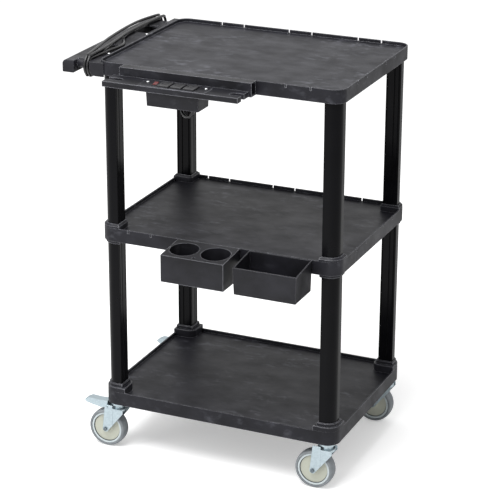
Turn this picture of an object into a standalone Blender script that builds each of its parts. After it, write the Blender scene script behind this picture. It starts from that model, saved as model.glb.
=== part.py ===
"""Audio visual cart: three moulded trays on fluted posts, with a push handle, a power strip that hooks on
the top tray, two holders that hook on the middle tray, and four swivel casters.

The cart is modelled round the centre of its trays, and the empty named cart moves it all so that the
origin lies on the floor under the middle of its bounding box. +X is the end without the handle,
-Y the front, +Z up. Metres."""
import math

import bmesh
import bpy
from mathutils import Matrix, Vector

# Fits shared by all pieces
GAP = 0.0003
OVERRUN = 0.020
WELD = 0.000001
SEAM = 0.0002

# Heights, from the casters up
BOTTOM_SKIRT = 0.038
LOWER_BAY = 0.4280
MIDDLE_SKIRT = 0.037
UPPER_BAY = 0.4074
TOP_SKIRT = 0.036

# Trays
TRAY_LENGTH = 0.6656
TRAY_WIDTH = 0.4932
TRAY_CORNER = 0.034
RIM_THICKNESS = 0.0045
RIM_DEPTH = 0.009
DECK_THICKNESS = 0.004
SKIRT_THICKNESS = 0.004
RIB_THICKNESS = 0.0025
RIB_DEPTH = 0.008
RIB_CELLS = (4, 2)
ARC_STEPS = 4
SMALL_STEPS = 2
ROUND_STEPS = 12

# Notches in the rims, which take the hooks of what hangs there
NOTCH_WIDTH = 0.0040
NOTCH_DEPTH = 0.0085
NOTCH_PAIR = 0.0650
NOTCH_LAP = 0.0020
LONG_SIDE_PITCH = 0.1965
LONG_SIDE_SHIFT = 0.0215
SHORT_SIDE_PITCH = 0.1980
SHORT_SIDE_SHIFT = -0.0100

# Posts
POST_WIDTH = 0.041
POST_INSET = 0.0083
POST_WALL = 0.004
POST_EDGE = 0.0015
FLUTE_WIDTH = 0.0030
FLUTE_DEPTH = 0.0020
FLUTE_SHARES = (0.12, 0.42, 0.90)

# Corner blocks, bosses and collars that hold the posts
BLOCK_MARGIN = 0.0060
BLOCK_RISE = 0.0005
BOTTOM_BLOCK_MARGIN = 0.0130
BOTTOM_BLOCK_RADIUS = 0.020
BOTTOM_BLOCK_HEIGHT = 0.0127
BOTTOM_BLOCK_EDGE = 0.0015
COLLAR_MARGIN = 0.0040
COLLAR_HEIGHT = 0.0095
COLLAR_EDGE = 0.0020
MIDDLE_BOSS_HEIGHT = 0.0102
MIDDLE_BOSS_EDGE = 0.0054
UNDER_COLLAR_HEIGHT = 0.0085
UPPER_SOCKET_DEPTH = 0.026
LOWER_SOCKET_DEPTH = 0.022
BOTTOM_SOCKET_DEPTH = 0.030
TOP_SOCKET_CAP = 0.006

# Push handle
HANDLE_REACH = 0.0972
HANDLE_DROP = 0.0067
BAR_WIDTH = 0.033
BAR_HEIGHT = 0.033
BAR_ROUND = 0.012
BAR_EDGE = 0.003
WEB_THICKNESS = 0.0045
WEB_LAP = 0.0020
ARM_HEIGHT = 0.025
ARM_INSET = 0.018
ARM_WIDTH = 0.030
NOSE_STEP = 0.0005
FLANGE_WIDTH = 0.0202
BLOCK_REACH = 0.041
BLOCK_WIDTH = 0.0566
BLOCK_TOP_DROP = 0.0047
BLOCK_HEIGHT = 0.037
BLOCK_ROUND = 0.017
FRONT_HOLE_REACH = (0.1186, 0.1866)
REAR_HOLE_REACH = (0.1666, 0.0886)
HAND_HOLE_EDGE = 0.007
HAND_HOLE_START = 0.005
HAND_HOLE_END = 0.0015
HANDLE_SCREW_LINE = 0.0140
FRONT_SCREW_REACH = 0.0966
REAR_SCREW_MARGIN = 0.0130

# Screws with a low round head
SCREW_HEAD = 0.0080
SCREW_HEAD_HEIGHT = 0.0020
SCREW_SHANK = 0.0040
SCREW_LENGTH = 0.010
SCREW_CROWN_SHARE = 0.6
SCREW_DOME_SHARE = 0.12

# Power strip bracket, hooked on the front rim of the top tray
RAIL_SPAN = (-0.253, 0.107)
RAIL_DEPTH = 0.0281
RAIL_WALL = 0.0028
PLATE_SPAN = (-0.2690, 0.0983)
PLATE_TOP_DROP = 0.0220
PLATE_THICKNESS = 0.014
PLATE_FRONT = 0.0914
PLATE_WALL = 0.003
PRONG_CUT = (0.0514, 0.0694)
PRONG_DEPTH = 0.0430
PRONG_DEPTH_RIGHT = 0.0333

# Cover panel and what sits in it
PANEL_SPAN = (-0.173, 0.009)
PANEL_LAP = (0.0414, 0.0894)
PANEL_THICKNESS = 0.0025
PANEL_RECESS = 0.0020
PANEL_SCREW_INSET = 0.012
PANEL_SCREW_LINE = 0.0514
OUTLET_FIRST = -0.1060
OUTLET_PITCH = 0.0347
OUTLET_LENGTH = 0.0300
OUTLET_WIDTH = 0.0370
OUTLET_LINE = 0.0654
OUTLET_RISE = 0.0045
OUTLET_BODY = 0.0085
OUTLET_EDGE = 0.0012
SLOT_SPACING = 0.0127
SLOT_LENGTHS = (0.0085, 0.0070)
SLOT_WIDTH = 0.0024
SLOT_DEPTH = 0.0060
SLOT_OFFSET = 0.0030
EARTH_DIAMETER = 0.0052
EARTH_OFFSET = 0.0085
SWITCH_PLACE = -0.1340
SWITCH_LENGTH = 0.0150
SWITCH_WIDTH = 0.0240
SWITCH_FRAME = 0.0018
SWITCH_RISE = 0.0016
SWITCH_BODY = 0.0045
ROCKER_TILT = math.radians(9.0)
ROCKER_RISE = 0.0030
ROCKER_DEPTH = 0.0050
ROCKER_CREASE = 0.0012
ROCKER_GAP = 0.0009

# Box under the strip
BOX_SPAN = (-0.152, -0.009)
BOX_LAP = (0.0214, 0.0834)
BOX_HEIGHT = 0.0377
BOX_TAPER = 0.0015
BOX_WALL = 0.0025

# Mains cord, its strain relief, plug and clips
CORD_DIAMETER = 0.0075
CORD_SPACING = 0.0150
CORD_SIDES = 2
WINDING_SIDES = 1
CURVE_STEPS = 12
RELIEF_PLACE = (-0.0470, -0.0334)
RELIEF_LENGTH = 0.0110
RELIEF_TOP = 0.0112
RELIEF_TIP = 0.0100
RELIEF_HOLE = 0.0120
RELIEF_COLLAR = 0.0150
RELIEF_COLLAR_HEIGHT = 0.0025
RELIEF_TAIL = 0.0090
CLIP_PLACE = -0.165
CLIP_FROM_END = 0.0978
CLIP_LENGTH = 0.010
CLIP_WIDTH = 0.0150
CLIP_FLOOR = 0.0025
CLIP_PLAY = 0.0005
CORD_LINE = (0.0606, -0.0272)
PLUG_BODY = (0.038, 0.026, 0.020)
PLUG_EDGE = 0.003
PLUG_RELIEF = 0.020
PLUG_RELIEF_TIP = 0.0095
PLUG_RELIEF_ROOT = 0.0130
BLADE_LENGTH = 0.0160
BLADE_WIDTH = 0.0063
BLADE_THICKNESS = 0.0015
PIN_DIAMETER = 0.0048
PIN_LENGTH = 0.0190

# Free cord from the strain relief to the winding: its route under the tray, measured from the tray's
# middle along X, from its front edge along Y and from its top rim along Z
STRIP_ROUTE = (
    (-0.0470, -0.0334, -0.0853),
    (-0.0470, -0.0334, -0.0897),
    (-0.0510, -0.0332, -0.0992),
    (-0.0585, -0.0327, -0.1042),
    (-0.0680, -0.0316, -0.1052),
    (-0.0765, -0.0292, -0.1012),
    (-0.0820, -0.0252, -0.0932),
    (-0.0850, -0.0189, -0.0822),
    (-0.0885, -0.0094, -0.0697),
    (-0.0935, 0.0031, -0.0577),
    (-0.1010, 0.0176, -0.0467),
    (-0.1120, 0.0331, -0.0377),
    (-0.1265, 0.0481, -0.0312),
    (-0.1430, 0.0578, -0.0279),
    (-0.1600, 0.0606, -0.0272),
    (-0.1800, 0.0606, -0.0272),
    (-0.2050, 0.0606, -0.0272),
    (-0.2250, 0.0606, -0.0272),
)

# The same cord's way to the handle, measured from the tray's left edge along X
HANDLE_ROUTE = (
    (0.0878, 0.0606, -0.0272),
    (0.0728, 0.0609, -0.0282),
    (0.0568, 0.0626, -0.0312),
    (0.0398, 0.0671, -0.0355),
    (0.0238, 0.0741, -0.0392),
    (0.0088, 0.0796, -0.0411),
    (-0.0047, 0.0816, -0.0409),
    (-0.0157, 0.0784, -0.0399),
    (-0.0237, 0.0704, -0.0394),
    (-0.0267, 0.0596, -0.0394),
    (-0.0267, 0.0526, -0.0394),
    (-0.0267, 0.0478, -0.0394),
)

# Winding on the handle: places across the handle, from the tray's left edge, as a loop's half turns and
# runs pass them, and the route of its loose end, from the left, rear and upper edges
LOOP_RISE = 0.0040
WINDING_GAP = 0.0006
LOOP_PLAY = 0.0018
LAYER_STEP = 0.0086
FRONT_COLUMNS = (-0.0267, -0.0352, -0.0352, -0.0267)
REAR_COLUMNS = (-0.0507, -0.0592, -0.0592, -0.0422)
LOOP_LAYERS = (0, 0, 1, 1)
TURN_POINTS = 7
RUN_POINTS = 5
NEIGHBOUR_POINTS = 8
TOP_DRIFT = (
    (-0.0202, -0.0147, -0.0472, -0.0552, -0.0547),
    (-0.0377, -0.0472, -0.0592, -0.0657, -0.0632),
    (-0.0472, -0.0602, -0.0682, -0.0732, -0.0722),
    (-0.0282, -0.0352, -0.0442, -0.0462, -0.0442),
)
BOTTOM_DRIFT = (
    (-0.0502, -0.0482, -0.0452, -0.0412, -0.0372),
    (-0.0587, -0.0567, -0.0537, -0.0497, -0.0402),
    (-0.0572, -0.0452, -0.0322, -0.0272, -0.0267),
)
BOTTOM_LAYERS = ((0, 0, 0, 0, 0), (0, 0, 0, 0.5, 1), (1, 1, 1, 1, 1))
TAIL_ROUTE = (
    (-0.0422, -0.0416, -0.0390),
    (-0.0420, -0.0616, -0.0371),
    (-0.0410, -0.0866, -0.0327),
    (-0.0402, -0.1116, -0.0285),
    (-0.0402, -0.1366, -0.0261),
    (-0.0402, -0.1616, -0.0252),
    (-0.0402, -0.1803, -0.0252),
)

# Holders on the front rim of the middle tray
CUP_HOLDER_SPAN = (-0.1077, 0.0655)
BIN_SPAN = (0.0905, 0.2620)
HOLDER_FRONT = 0.1034
HOLDER_GAP = 0.0006
CUP_HOLDER_DROP = 0.0083
CUP_HOLDER_HEIGHT = 0.0720
BIN_DROP = 0.0113
BIN_HEIGHT = 0.0720
BIN_TAPER = 0.0025
HOLDER_WALL = 0.0030
HOLDER_BACK_DROP = 0.0003
HOLDER_EDGE = 0.0010
CUP_DIAMETER = 0.0770
CUP_WALL = 0.0025
CUP_PITCH = 0.0870
CUP_LINE = 0.0524
CUP_STEPS = 24
DRAIN_DIAMETER = 0.0080
DRAIN_INSET = 0.0120

# T-shaped hooks that drop through the rim notches
HOOK_WIDTH = 0.0030
HOOK_RISE = 0.0065
HOOK_HEAD = 0.0090
HOOK_HEAD_THICKNESS = 0.0030

# Casters
WHEEL_RADIUS = 0.0525
WHEEL_STEPS = 20
TYRE_WIDTH = 0.0320
TYRE_DEPTH = 0.0078
TYRE_SHOULDER = 0.0050
TREAD_CROWN = 0.0010
RING_WIDTH = 0.0059
RING_HALF = 0.0145
DISC_HALF = 0.0120
DISC_DISH = 0.0015
HUB_RADIUS = 0.0120
CASTER_INSET = (0.0316, 0.0268)
TRAIL = 0.0319
LEG_HALF = 0.0085
LEG_THICKNESS = 0.0025
LEG_INNER = 0.0195
LEG_REACH = 0.0525
LEG_SHOULDER = 0.0104
STRAP_BACK = 0.0006
STRAP_WIDTH = 0.0225
STRAP_RISE = 0.0087
FORK_CLEARANCE = 0.0030
FORK_PLATE = 0.0078
FORK_PLATE_RADIUS = 0.0215
RACE_RADIUS = 0.0150
CAP_RADIUS = 0.0205
CASTER_HEAD = 0.0170
CAP_GAP = 0.0085
CAP_ROUND = 0.0035
SEAT_RADIUS = 0.0150
SEAT_HEIGHT = 0.0015
STEM_RADIUS = 0.0055
STEM_LENGTH = 0.0240
KINGPIN_RADIUS = 0.0050
KINGPIN_HEAD = 0.0085
KINGPIN_HEAD_HEIGHT = 0.0028
AXLE_RADIUS = 0.0040
BOLT_HEAD = 0.0070
BOLT_HEAD_HEIGHT = 0.0032
BOLT_HEAD_SIDES = 6

# Brake pedals on the two left casters, measured from the swivel axis and the fork's top
PEDAL_PLACE = (-0.0278, 0.0015)
PEDAL_BOSS = 0.0055
PEDAL_PIN_RADIUS = 0.0022
PEDAL_PIN_HEAD = 0.0040
PEDAL_PIN_HEAD_HEIGHT = 0.0012
PEDAL_WIDTH = 0.0240
PEDAL_SHEET = 0.0022
PEDAL_OUTLINE = (
    (-0.0282, 0.0137),
    (-0.0328, 0.0155),
    (-0.0573, 0.0143),
    (-0.0848, 0.0159),
    (-0.0990, 0.0077),
    (-0.0930, 0.0017),
    (-0.0728, -0.0028),
    (-0.0540, -0.0053),
    (-0.0490, -0.0073),
    (-0.0440, -0.0051),
    (-0.0340, -0.0040),
)

# Places worked out from the sizes above
FORK_TOP = 2 * WHEEL_RADIUS + FORK_CLEARANCE + FORK_PLATE
CASTER_HEIGHT = FORK_TOP + CASTER_HEAD
PEDAL_PIVOT = (PEDAL_PLACE[0], FORK_TOP + PEDAL_PLACE[1])
TYRE_BORE = WHEEL_RADIUS - TYRE_DEPTH
RING_INNER = TYRE_BORE - RING_WIDTH
BOTTOM_RIM = CASTER_HEIGHT + BOTTOM_SKIRT
MIDDLE_UNDER = BOTTOM_RIM + LOWER_BAY
MIDDLE_RIM = MIDDLE_UNDER + MIDDLE_SKIRT
TOP_UNDER = MIDDLE_RIM + UPPER_BAY
TOP_RIM = TOP_UNDER + TOP_SKIRT
HALF_LENGTH = TRAY_LENGTH / 2
HALF_WIDTH = TRAY_WIDTH / 2
FRONT = -HALF_WIDTH
LEFT = -HALF_LENGTH
POST_OUTER = (HALF_LENGTH - POST_INSET, HALF_WIDTH - POST_INSET)
POST_INNER = (POST_OUTER[0] - POST_WIDTH, POST_OUTER[1] - POST_WIDTH)
POST_CORNER = TRAY_CORNER - POST_INSET
HANDLE_TOP = TOP_RIM - HANDLE_DROP
BAR_OUTER = LEFT - HANDLE_REACH
BAR_INNER = BAR_OUTER + BAR_WIDTH
HOLDER_FACE = FRONT - HOLDER_FRONT
PLATE_TOP = TOP_RIM - PLATE_TOP_DROP
PLATE_UNDER = PLATE_TOP - PLATE_THICKNESS
PANEL_SEAT = PLATE_TOP - PANEL_RECESS + GAP
PANEL_TOP = PANEL_SEAT + PANEL_THICKNESS
OUTLET_FOOT = PANEL_TOP - OUTLET_BODY
CART_SHIFT = (-(BAR_OUTER + HALF_LENGTH) / 2, -(HOLDER_FACE + HALF_WIDTH) / 2, 0)
CASTER_PLACE = (HALF_LENGTH - CASTER_INSET[0], HALF_WIDTH - CASTER_INSET[1])
LOOP_INNER = (ARM_HEIGHT + CORD_DIAMETER) / 2 + GAP + LOOP_RISE / 2
LOOP_REACH = HALF_WIDTH - ARM_INSET + CORD_DIAMETER / 2 + LOOP_PLAY - LOOP_INNER

CORNERS = {
    "front_left": (-1, -1),
    "front_right": (1, -1),
    "back_left": (-1, 1),
    "back_right": (1, 1),
}


def clear_scene():
    """Remove every object that the file opened with."""
    for old in list(bpy.data.objects):
        bpy.data.objects.remove(old, do_unlink=True)


def make_collection(name):
    """A new collection under the scene's own."""
    collection = bpy.data.collections.new(name)
    bpy.context.scene.collection.children.link(collection)
    return collection


def make_material(name, colour, roughness, metallic=0.0):
    """A plain surface with its colour, roughness and metallic value."""
    material = bpy.data.materials.new(name)
    material.use_nodes = True
    shader = material.node_tree.nodes["Principled BSDF"]
    shader.inputs["Base Color"].default_value = (*colour, 1.0)
    shader.inputs["Roughness"].default_value = roughness
    shader.inputs["Metallic"].default_value = metallic
    return material


def make_empty(name, parent, location):
    """A guide that carries other objects."""
    empty = bpy.data.objects.new(name, None)
    empty.empty_display_size = WHEEL_RADIUS
    empty.location = location
    empty.parent = parent
    PARTS.objects.link(empty)
    return empty


def make_part(name, mesh, material, parent=None, location=(0, 0, 0)):
    """A visible piece of the cart."""
    part = bpy.data.objects.new(name, mesh)
    part.parent = parent or CART
    part.location = location
    mesh.materials.clear()
    mesh.materials.append(material)
    PARTS.objects.link(part)
    return part


def make_cutter(name, mesh, parent=None, location=(0, 0, 0)):
    """A shape that only cuts or joins."""
    cutter = bpy.data.objects.new(name, mesh)
    cutter.parent = parent or CART
    cutter.location = location
    cutter.hide_render = True
    cutter.display_type = "WIRE"
    CUTTERS.objects.link(cutter)
    return cutter


def combine(part, cutter, operation):
    """Cut a shape out of a piece, or unite it with the piece."""
    boolean = part.modifiers.new(cutter.name, "BOOLEAN")
    boolean.object = cutter
    boolean.operation = operation


def cut(part, name, mesh, location=(0, 0, 0)):
    """Take a mesh out of a piece."""
    cutter = make_cutter(f"{part.name}.{name}", mesh, part.parent, location)
    combine(part, cutter, "DIFFERENCE")
    return cutter


def join(part, name, mesh, location=(0, 0, 0)):
    """Unite a mesh with a piece."""
    cutter = make_cutter(f"{part.name}.{name}", mesh, part.parent, location)
    combine(part, cutter, "UNION")
    return cutter


def bevel(part, width, segments=1, angle=math.radians(40)):
    """Round or chamfer the sharp edges of a piece."""
    modifier = part.modifiers.new("edges", "BEVEL")
    modifier.width = width
    modifier.segments = segments
    modifier.limit_method = "ANGLE"
    modifier.angle_limit = angle


def mesh_from(build):
    """A mesh filled by a function that works on a bmesh."""
    work = bmesh.new()
    build(work)
    mesh = bpy.data.meshes.new("shape")
    work.to_mesh(mesh)
    work.free()
    return mesh


def box(low, high):
    """A block between two opposite corners."""
    low = Vector(low)
    high = Vector(high)

    def build(work):
        bmesh.ops.create_cube(work, size=1)
        bmesh.ops.scale(work, vec=high - low, verts=work.verts)
        bmesh.ops.translate(work, vec=(high + low) / 2, verts=work.verts)

    return mesh_from(build)


def rod(radius, low, high, place, segments, axis="Z"):
    """A cylinder between two heights along an axis, centred on a place across it."""

    def build(work):
        bmesh.ops.create_cone(
            work,
            cap_ends=True,
            segments=segments,
            radius1=radius,
            radius2=radius,
            depth=high - low,
        )
        bmesh.ops.translate(work, vec=(0, 0, (high + low) / 2), verts=work.verts)
        if axis == "Y":
            bmesh.ops.rotate(work, matrix=Matrix.Rotation(-math.pi / 2, 3, "X"), verts=work.verts)
            bmesh.ops.translate(work, vec=(place[0], 0, place[1]), verts=work.verts)
        elif axis == "X":
            bmesh.ops.rotate(work, matrix=Matrix.Rotation(math.pi / 2, 3, "Y"), verts=work.verts)
            bmesh.ops.translate(work, vec=(0, place[0], place[1]), verts=work.verts)
        else:
            bmesh.ops.translate(work, vec=(place[0], place[1], 0), verts=work.verts)

    return mesh_from(build)


def gather(meshes):
    """One mesh that holds several separate shapes."""
    work = bmesh.new()
    for mesh in meshes:
        work.from_mesh(mesh)
        bpy.data.meshes.remove(mesh)
    gathered = bpy.data.meshes.new("shapes")
    work.to_mesh(gathered)
    work.free()
    return gathered


def curve_to_mesh(curve):
    """The closed mesh of a curve, with its caps welded on."""
    holder = bpy.data.objects.new("curve", curve)
    bpy.context.scene.collection.objects.link(holder)
    graph = bpy.context.evaluated_depsgraph_get()
    mesh = bpy.data.meshes.new_from_object(holder.evaluated_get(graph))
    bpy.data.objects.remove(holder)
    bpy.data.curves.remove(curve)
    work = bmesh.new()
    work.from_mesh(mesh)
    bmesh.ops.remove_doubles(work, verts=work.verts, dist=WELD)
    work.to_mesh(mesh)
    work.free()
    return mesh


def plate(loops, low, high, upright=False):
    """A flat outline with its holes, between two heights, or between two places across when upright."""
    curve = bpy.data.curves.new("outline", "CURVE")
    curve.dimensions = "2D"
    curve.fill_mode = "BOTH"
    curve.extrude = (high - low) / 2
    for loop in loops:
        spline = curve.splines.new("POLY")
        spline.points.add(len(loop) - 1)
        for point, (x, y) in zip(spline.points, loop):
            point.co = (x, y, 0, 1)
        spline.use_cyclic_u = True
    mesh = curve_to_mesh(curve)
    if upright:
        mesh.transform(Matrix.Rotation(math.pi / 2, 4, "X"))
        mesh.transform(Matrix.Translation((0, (high + low) / 2, 0)))
    else:
        mesh.transform(Matrix.Translation((0, 0, (high + low) / 2)))
    return mesh


def tube(points, diameter, resolution):
    """A round cord through a list of points, with flat ends."""
    curve = bpy.data.curves.new("cord", "CURVE")
    curve.dimensions = "3D"
    curve.bevel_depth = diameter / 2
    curve.bevel_resolution = resolution
    curve.use_fill_caps = True
    spline = curve.splines.new("POLY")
    spline.points.add(len(points) - 1)
    for point, place in zip(spline.points, points):
        point.co = (*place, 1)
    return curve_to_mesh(curve)


def turned(name, profile, steps, material, parent=None, location=(0, 0, 0), closed=False, turn=(0, 0, 0)):
    """A round piece from a profile of radii and heights that runs down its outer side."""
    edges = [(index, index + 1) for index in range(len(profile) - 1)]
    if closed:
        edges.append((len(profile) - 1, 0))
    mesh = bpy.data.meshes.new(name)
    mesh.from_pydata([(radius, 0, height) for radius, height in profile], edges, [])
    part = make_part(name, mesh, material, parent, location)
    part.rotation_euler = turn
    screw = part.modifiers.new("turn", "SCREW")
    screw.steps = steps
    screw.render_steps = steps
    screw.use_merge_vertices = True
    screw.merge_threshold = WELD
    screw.use_smooth_shade = True
    return part


def arc(centre, radius, start, end, steps):
    """Points round part of a circle, angles in degrees."""
    points = []
    for step in range(steps + 1):
        angle = math.radians(start + (end - start) * step / steps)
        points.append((centre[0] + radius * math.cos(angle), centre[1] + radius * math.sin(angle)))
    return points


def rounded(low, high, radius, steps=ARC_STEPS):
    """A rectangle with four round corners."""
    points = arc((high[0] - radius, high[1] - radius), radius, 0, 90, steps)
    points += arc((low[0] + radius, high[1] - radius), radius, 90, 180, steps)
    points += arc((low[0] + radius, low[1] + radius), radius, 180, 270, steps)
    points += arc((high[0] - radius, low[1] + radius), radius, 270, 360, steps)
    return points


def mirrored(points, signs):
    """The same outline in another corner of the cart, still running anticlockwise."""
    moved = [(x * signs[0], y * signs[1]) for x, y in points]
    if signs[0] * signs[1] < 0:
        moved.reverse()
    return moved


def tray_outline(inset):
    """The tray's plan, drawn in by an inset."""
    high = (HALF_LENGTH - inset, HALF_WIDTH - inset)
    return rounded((-high[0], -high[1]), high, TRAY_CORNER - inset)


def corner_outline(signs, inset, margin, radius):
    """The plan of a corner block: the tray's round corner outside, a plain or round corner inside."""
    high = (HALF_LENGTH - inset, HALF_WIDTH - inset)
    low = (POST_INNER[0] - margin, POST_INNER[1] - margin)
    outer = TRAY_CORNER - inset
    points = [(high[0], low[1])]
    points += arc((high[0] - outer, high[1] - outer), outer, 0, 90, ARC_STEPS)
    points.append((low[0], high[1]))
    if radius:
        points += arc((low[0] + radius, low[1] + radius), radius, 180, 270, SMALL_STEPS)
    else:
        points.append(low)
    return mirrored(points, signs)


def post_outline(signs, margin):
    """The post's plan without its flutes, grown by a margin."""
    high = (POST_OUTER[0] + margin, POST_OUTER[1] + margin)
    low = (POST_INNER[0] - margin, POST_INNER[1] - margin)
    radius = POST_CORNER + margin
    points = [(high[0], low[1])]
    points += arc((high[0] - radius, high[1] - radius), radius, 0, 90, ARC_STEPS)
    points.append((low[0], high[1]))
    points.append(low)
    return mirrored(points, signs)


def flute(place):
    """The four points of one flute: distances along the face and into it."""
    half = FLUTE_WIDTH / 2
    return (
        (place - half, 0),
        (place - half + FLUTE_DEPTH / 2, FLUTE_DEPTH),
        (place + half - FLUTE_DEPTH / 2, FLUTE_DEPTH),
        (place + half, 0),
    )


def fluted_outline(signs):
    """The post's plan, with flutes down the two faces that look at the other posts."""
    low = POST_INNER
    high = POST_OUTER
    flutes = []
    for share in sorted(FLUTE_SHARES, reverse=True):
        flutes.append(flute(POST_WIDTH * share))
    points = [(low[0], low[1] + POST_EDGE), (low[0] + POST_EDGE, low[1])]
    for group in flutes:
        points += [(high[0] - along, low[1] + into) for along, into in reversed(group)]
    points += [(high[0] - POST_EDGE, low[1]), (high[0], low[1] + POST_EDGE)]
    points += arc((high[0] - POST_CORNER, high[1] - POST_CORNER), POST_CORNER, 0, 90, ARC_STEPS)
    points += [(low[0] + POST_EDGE, high[1]), (low[0], high[1] - POST_EDGE)]
    for group in reversed(flutes):
        points += [(low[0] + into, high[1] - along) for along, into in group]
    return mirrored(points, signs)


def chamfer_ends(mesh, width, top=True, bottom=False):
    """Chamfer the edges round a plate's upper or lower face."""
    work = bmesh.new()
    work.from_mesh(mesh)
    chosen = set()
    for face in work.faces:
        upward = face.normal.z > 0.9
        downward = face.normal.z < -0.9
        if (top and upward) or (bottom and downward):
            chosen.update(face.edges)
    rim = [edge for edge in chosen if sum(abs(face.normal.z) > 0.9 for face in edge.link_faces) == 1]
    bmesh.ops.bevel(work, geom=rim, offset=width, segments=1, affect="EDGES", clamp_overlap=True)
    work.to_mesh(mesh)
    work.free()
    return mesh


def notch_places(turned_round):
    """Notch places along the long and short sides; the middle tray is the same moulding turned round."""
    sign = -1 if turned_round else 1
    long_side = []
    for step in (-1, 0, 1):
        for half in (-NOTCH_PAIR / 2, NOTCH_PAIR / 2):
            long_side.append(sign * (LONG_SIDE_SHIFT + step * LONG_SIDE_PITCH) + half)
    short_side = []
    for step in (-1 / 2, 1 / 2):
        for half in (-NOTCH_PAIR / 2, NOTCH_PAIR / 2):
            short_side.append(sign * SHORT_SIDE_SHIFT + step * SHORT_SIDE_PITCH + half)
    return sorted(long_side), sorted(short_side)


def notch_ends(side, edge):
    """Where a notch's cutter starts and ends across a rim."""
    return sorted((side * (edge - RIM_THICKNESS - NOTCH_LAP), side * (edge + OVERRUN)))


def tray(name, rim, skirt, turned_round=False, notched_ends=()):
    """One tray: rim, deck, skirt and ribs, with notches through the rim."""
    under = rim - skirt
    deck = rim - RIM_DEPTH
    ceiling = deck - DECK_THICKNESS
    part = make_part(name, plate([tray_outline(0)], under, rim), PLASTIC)
    cut(part, "recess", plate([tray_outline(RIM_THICKNESS)], deck, rim + OVERRUN))
    cut(part, "hollow", plate([tray_outline(SKIRT_THICKNESS)], under - OVERRUN, ceiling - RIB_DEPTH))
    inner = (HALF_LENGTH - SKIRT_THICKNESS, HALF_WIDTH - SKIRT_THICKNESS)
    inset = TRAY_CORNER - SKIRT_THICKNESS
    cell = (2 * (inner[0] - inset) / RIB_CELLS[0], 2 * (inner[1] - inset) / RIB_CELLS[1])
    pockets = []
    for column in range(RIB_CELLS[0]):
        for row in range(RIB_CELLS[1]):
            low = (inset - inner[0] + column * cell[0], inset - inner[1] + row * cell[1])
            half = RIB_THICKNESS / 2
            pockets.append(box(
                (low[0] + half, low[1] + half, ceiling - RIB_DEPTH - SKIRT_THICKNESS),
                (low[0] + cell[0] - half, low[1] + cell[1] - half, ceiling),
            ))
    cut(part, "pockets", gather(pockets))
    if notched_ends:
        long_side, short_side = notch_places(turned_round)
        half = NOTCH_WIDTH / 2
        bottom = rim - NOTCH_DEPTH
        notches = []
        for side in (-1, 1):
            edges = notch_ends(side, HALF_WIDTH)
            for place in long_side:
                low = (place - half, edges[0], bottom)
                notches.append(box(low, (place + half, edges[1], rim + OVERRUN)))
        for side in notched_ends:
            edges = notch_ends(side, HALF_LENGTH)
            for place in short_side:
                low = (edges[0], place - half, bottom)
                notches.append(box(low, (edges[1], place + half, rim + OVERRUN)))
        cut(part, "notches", gather(notches))
    return part


def corner_plates(outline, low, high, edge=0.0, top=True, bottom=False):
    """The same plate in all four corners, as separate shapes of one mesh."""
    meshes = []
    for signs in CORNERS.values():
        mesh = plate([outline(signs)], low, high)
        if edge:
            chamfer_ends(mesh, edge, top, bottom)
        meshes.append(mesh)
    return gather(meshes)


def build_top_tray():
    """Top tray: the posts end in sockets behind its skirt."""
    part = tray("top_shelf", TOP_RIM, TOP_SKIRT, notched_ends=(1,))
    deck = TOP_RIM - RIM_DEPTH
    inset = SKIRT_THICKNESS / 2
    blocks = corner_plates(
        lambda signs: corner_outline(signs, inset, BLOCK_MARGIN, 0),
        TOP_UNDER + BLOCK_RISE,
        deck - DECK_THICKNESS / 2,
    )
    join(part, "blocks", blocks)
    sockets = corner_plates(
        lambda signs: post_outline(signs, GAP),
        TOP_UNDER - OVERRUN,
        deck - TOP_SOCKET_CAP,
    )
    cut(part, "sockets", sockets)


def build_middle_tray():
    """Middle tray: a chamfered boss round each upper post and a collar round each lower one."""
    part = tray("middle_shelf", MIDDLE_RIM, MIDDLE_SKIRT, turned_round=True, notched_ends=(-1, 1))
    top = MIDDLE_RIM + MIDDLE_BOSS_HEIGHT
    bottom = MIDDLE_UNDER - UNDER_COLLAR_HEIGHT
    bosses = corner_plates(
        lambda signs: corner_outline(signs, SEAM, BLOCK_MARGIN, 0),
        MIDDLE_UNDER + BLOCK_RISE,
        top,
        MIDDLE_BOSS_EDGE,
    )
    join(part, "bosses", bosses)
    collars = corner_plates(
        lambda signs: post_outline(signs, COLLAR_MARGIN),
        bottom,
        MIDDLE_UNDER + UNDER_COLLAR_HEIGHT,
        COLLAR_EDGE,
        top=False,
        bottom=True,
    )
    join(part, "collars", collars)
    upper = corner_plates(lambda signs: post_outline(signs, GAP), top - UPPER_SOCKET_DEPTH, top + OVERRUN)
    cut(part, "upper_sockets", upper)
    lower = corner_plates(
        lambda signs: post_outline(signs, GAP),
        bottom - OVERRUN,
        bottom + LOWER_SOCKET_DEPTH,
    )
    cut(part, "lower_sockets", lower)


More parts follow.
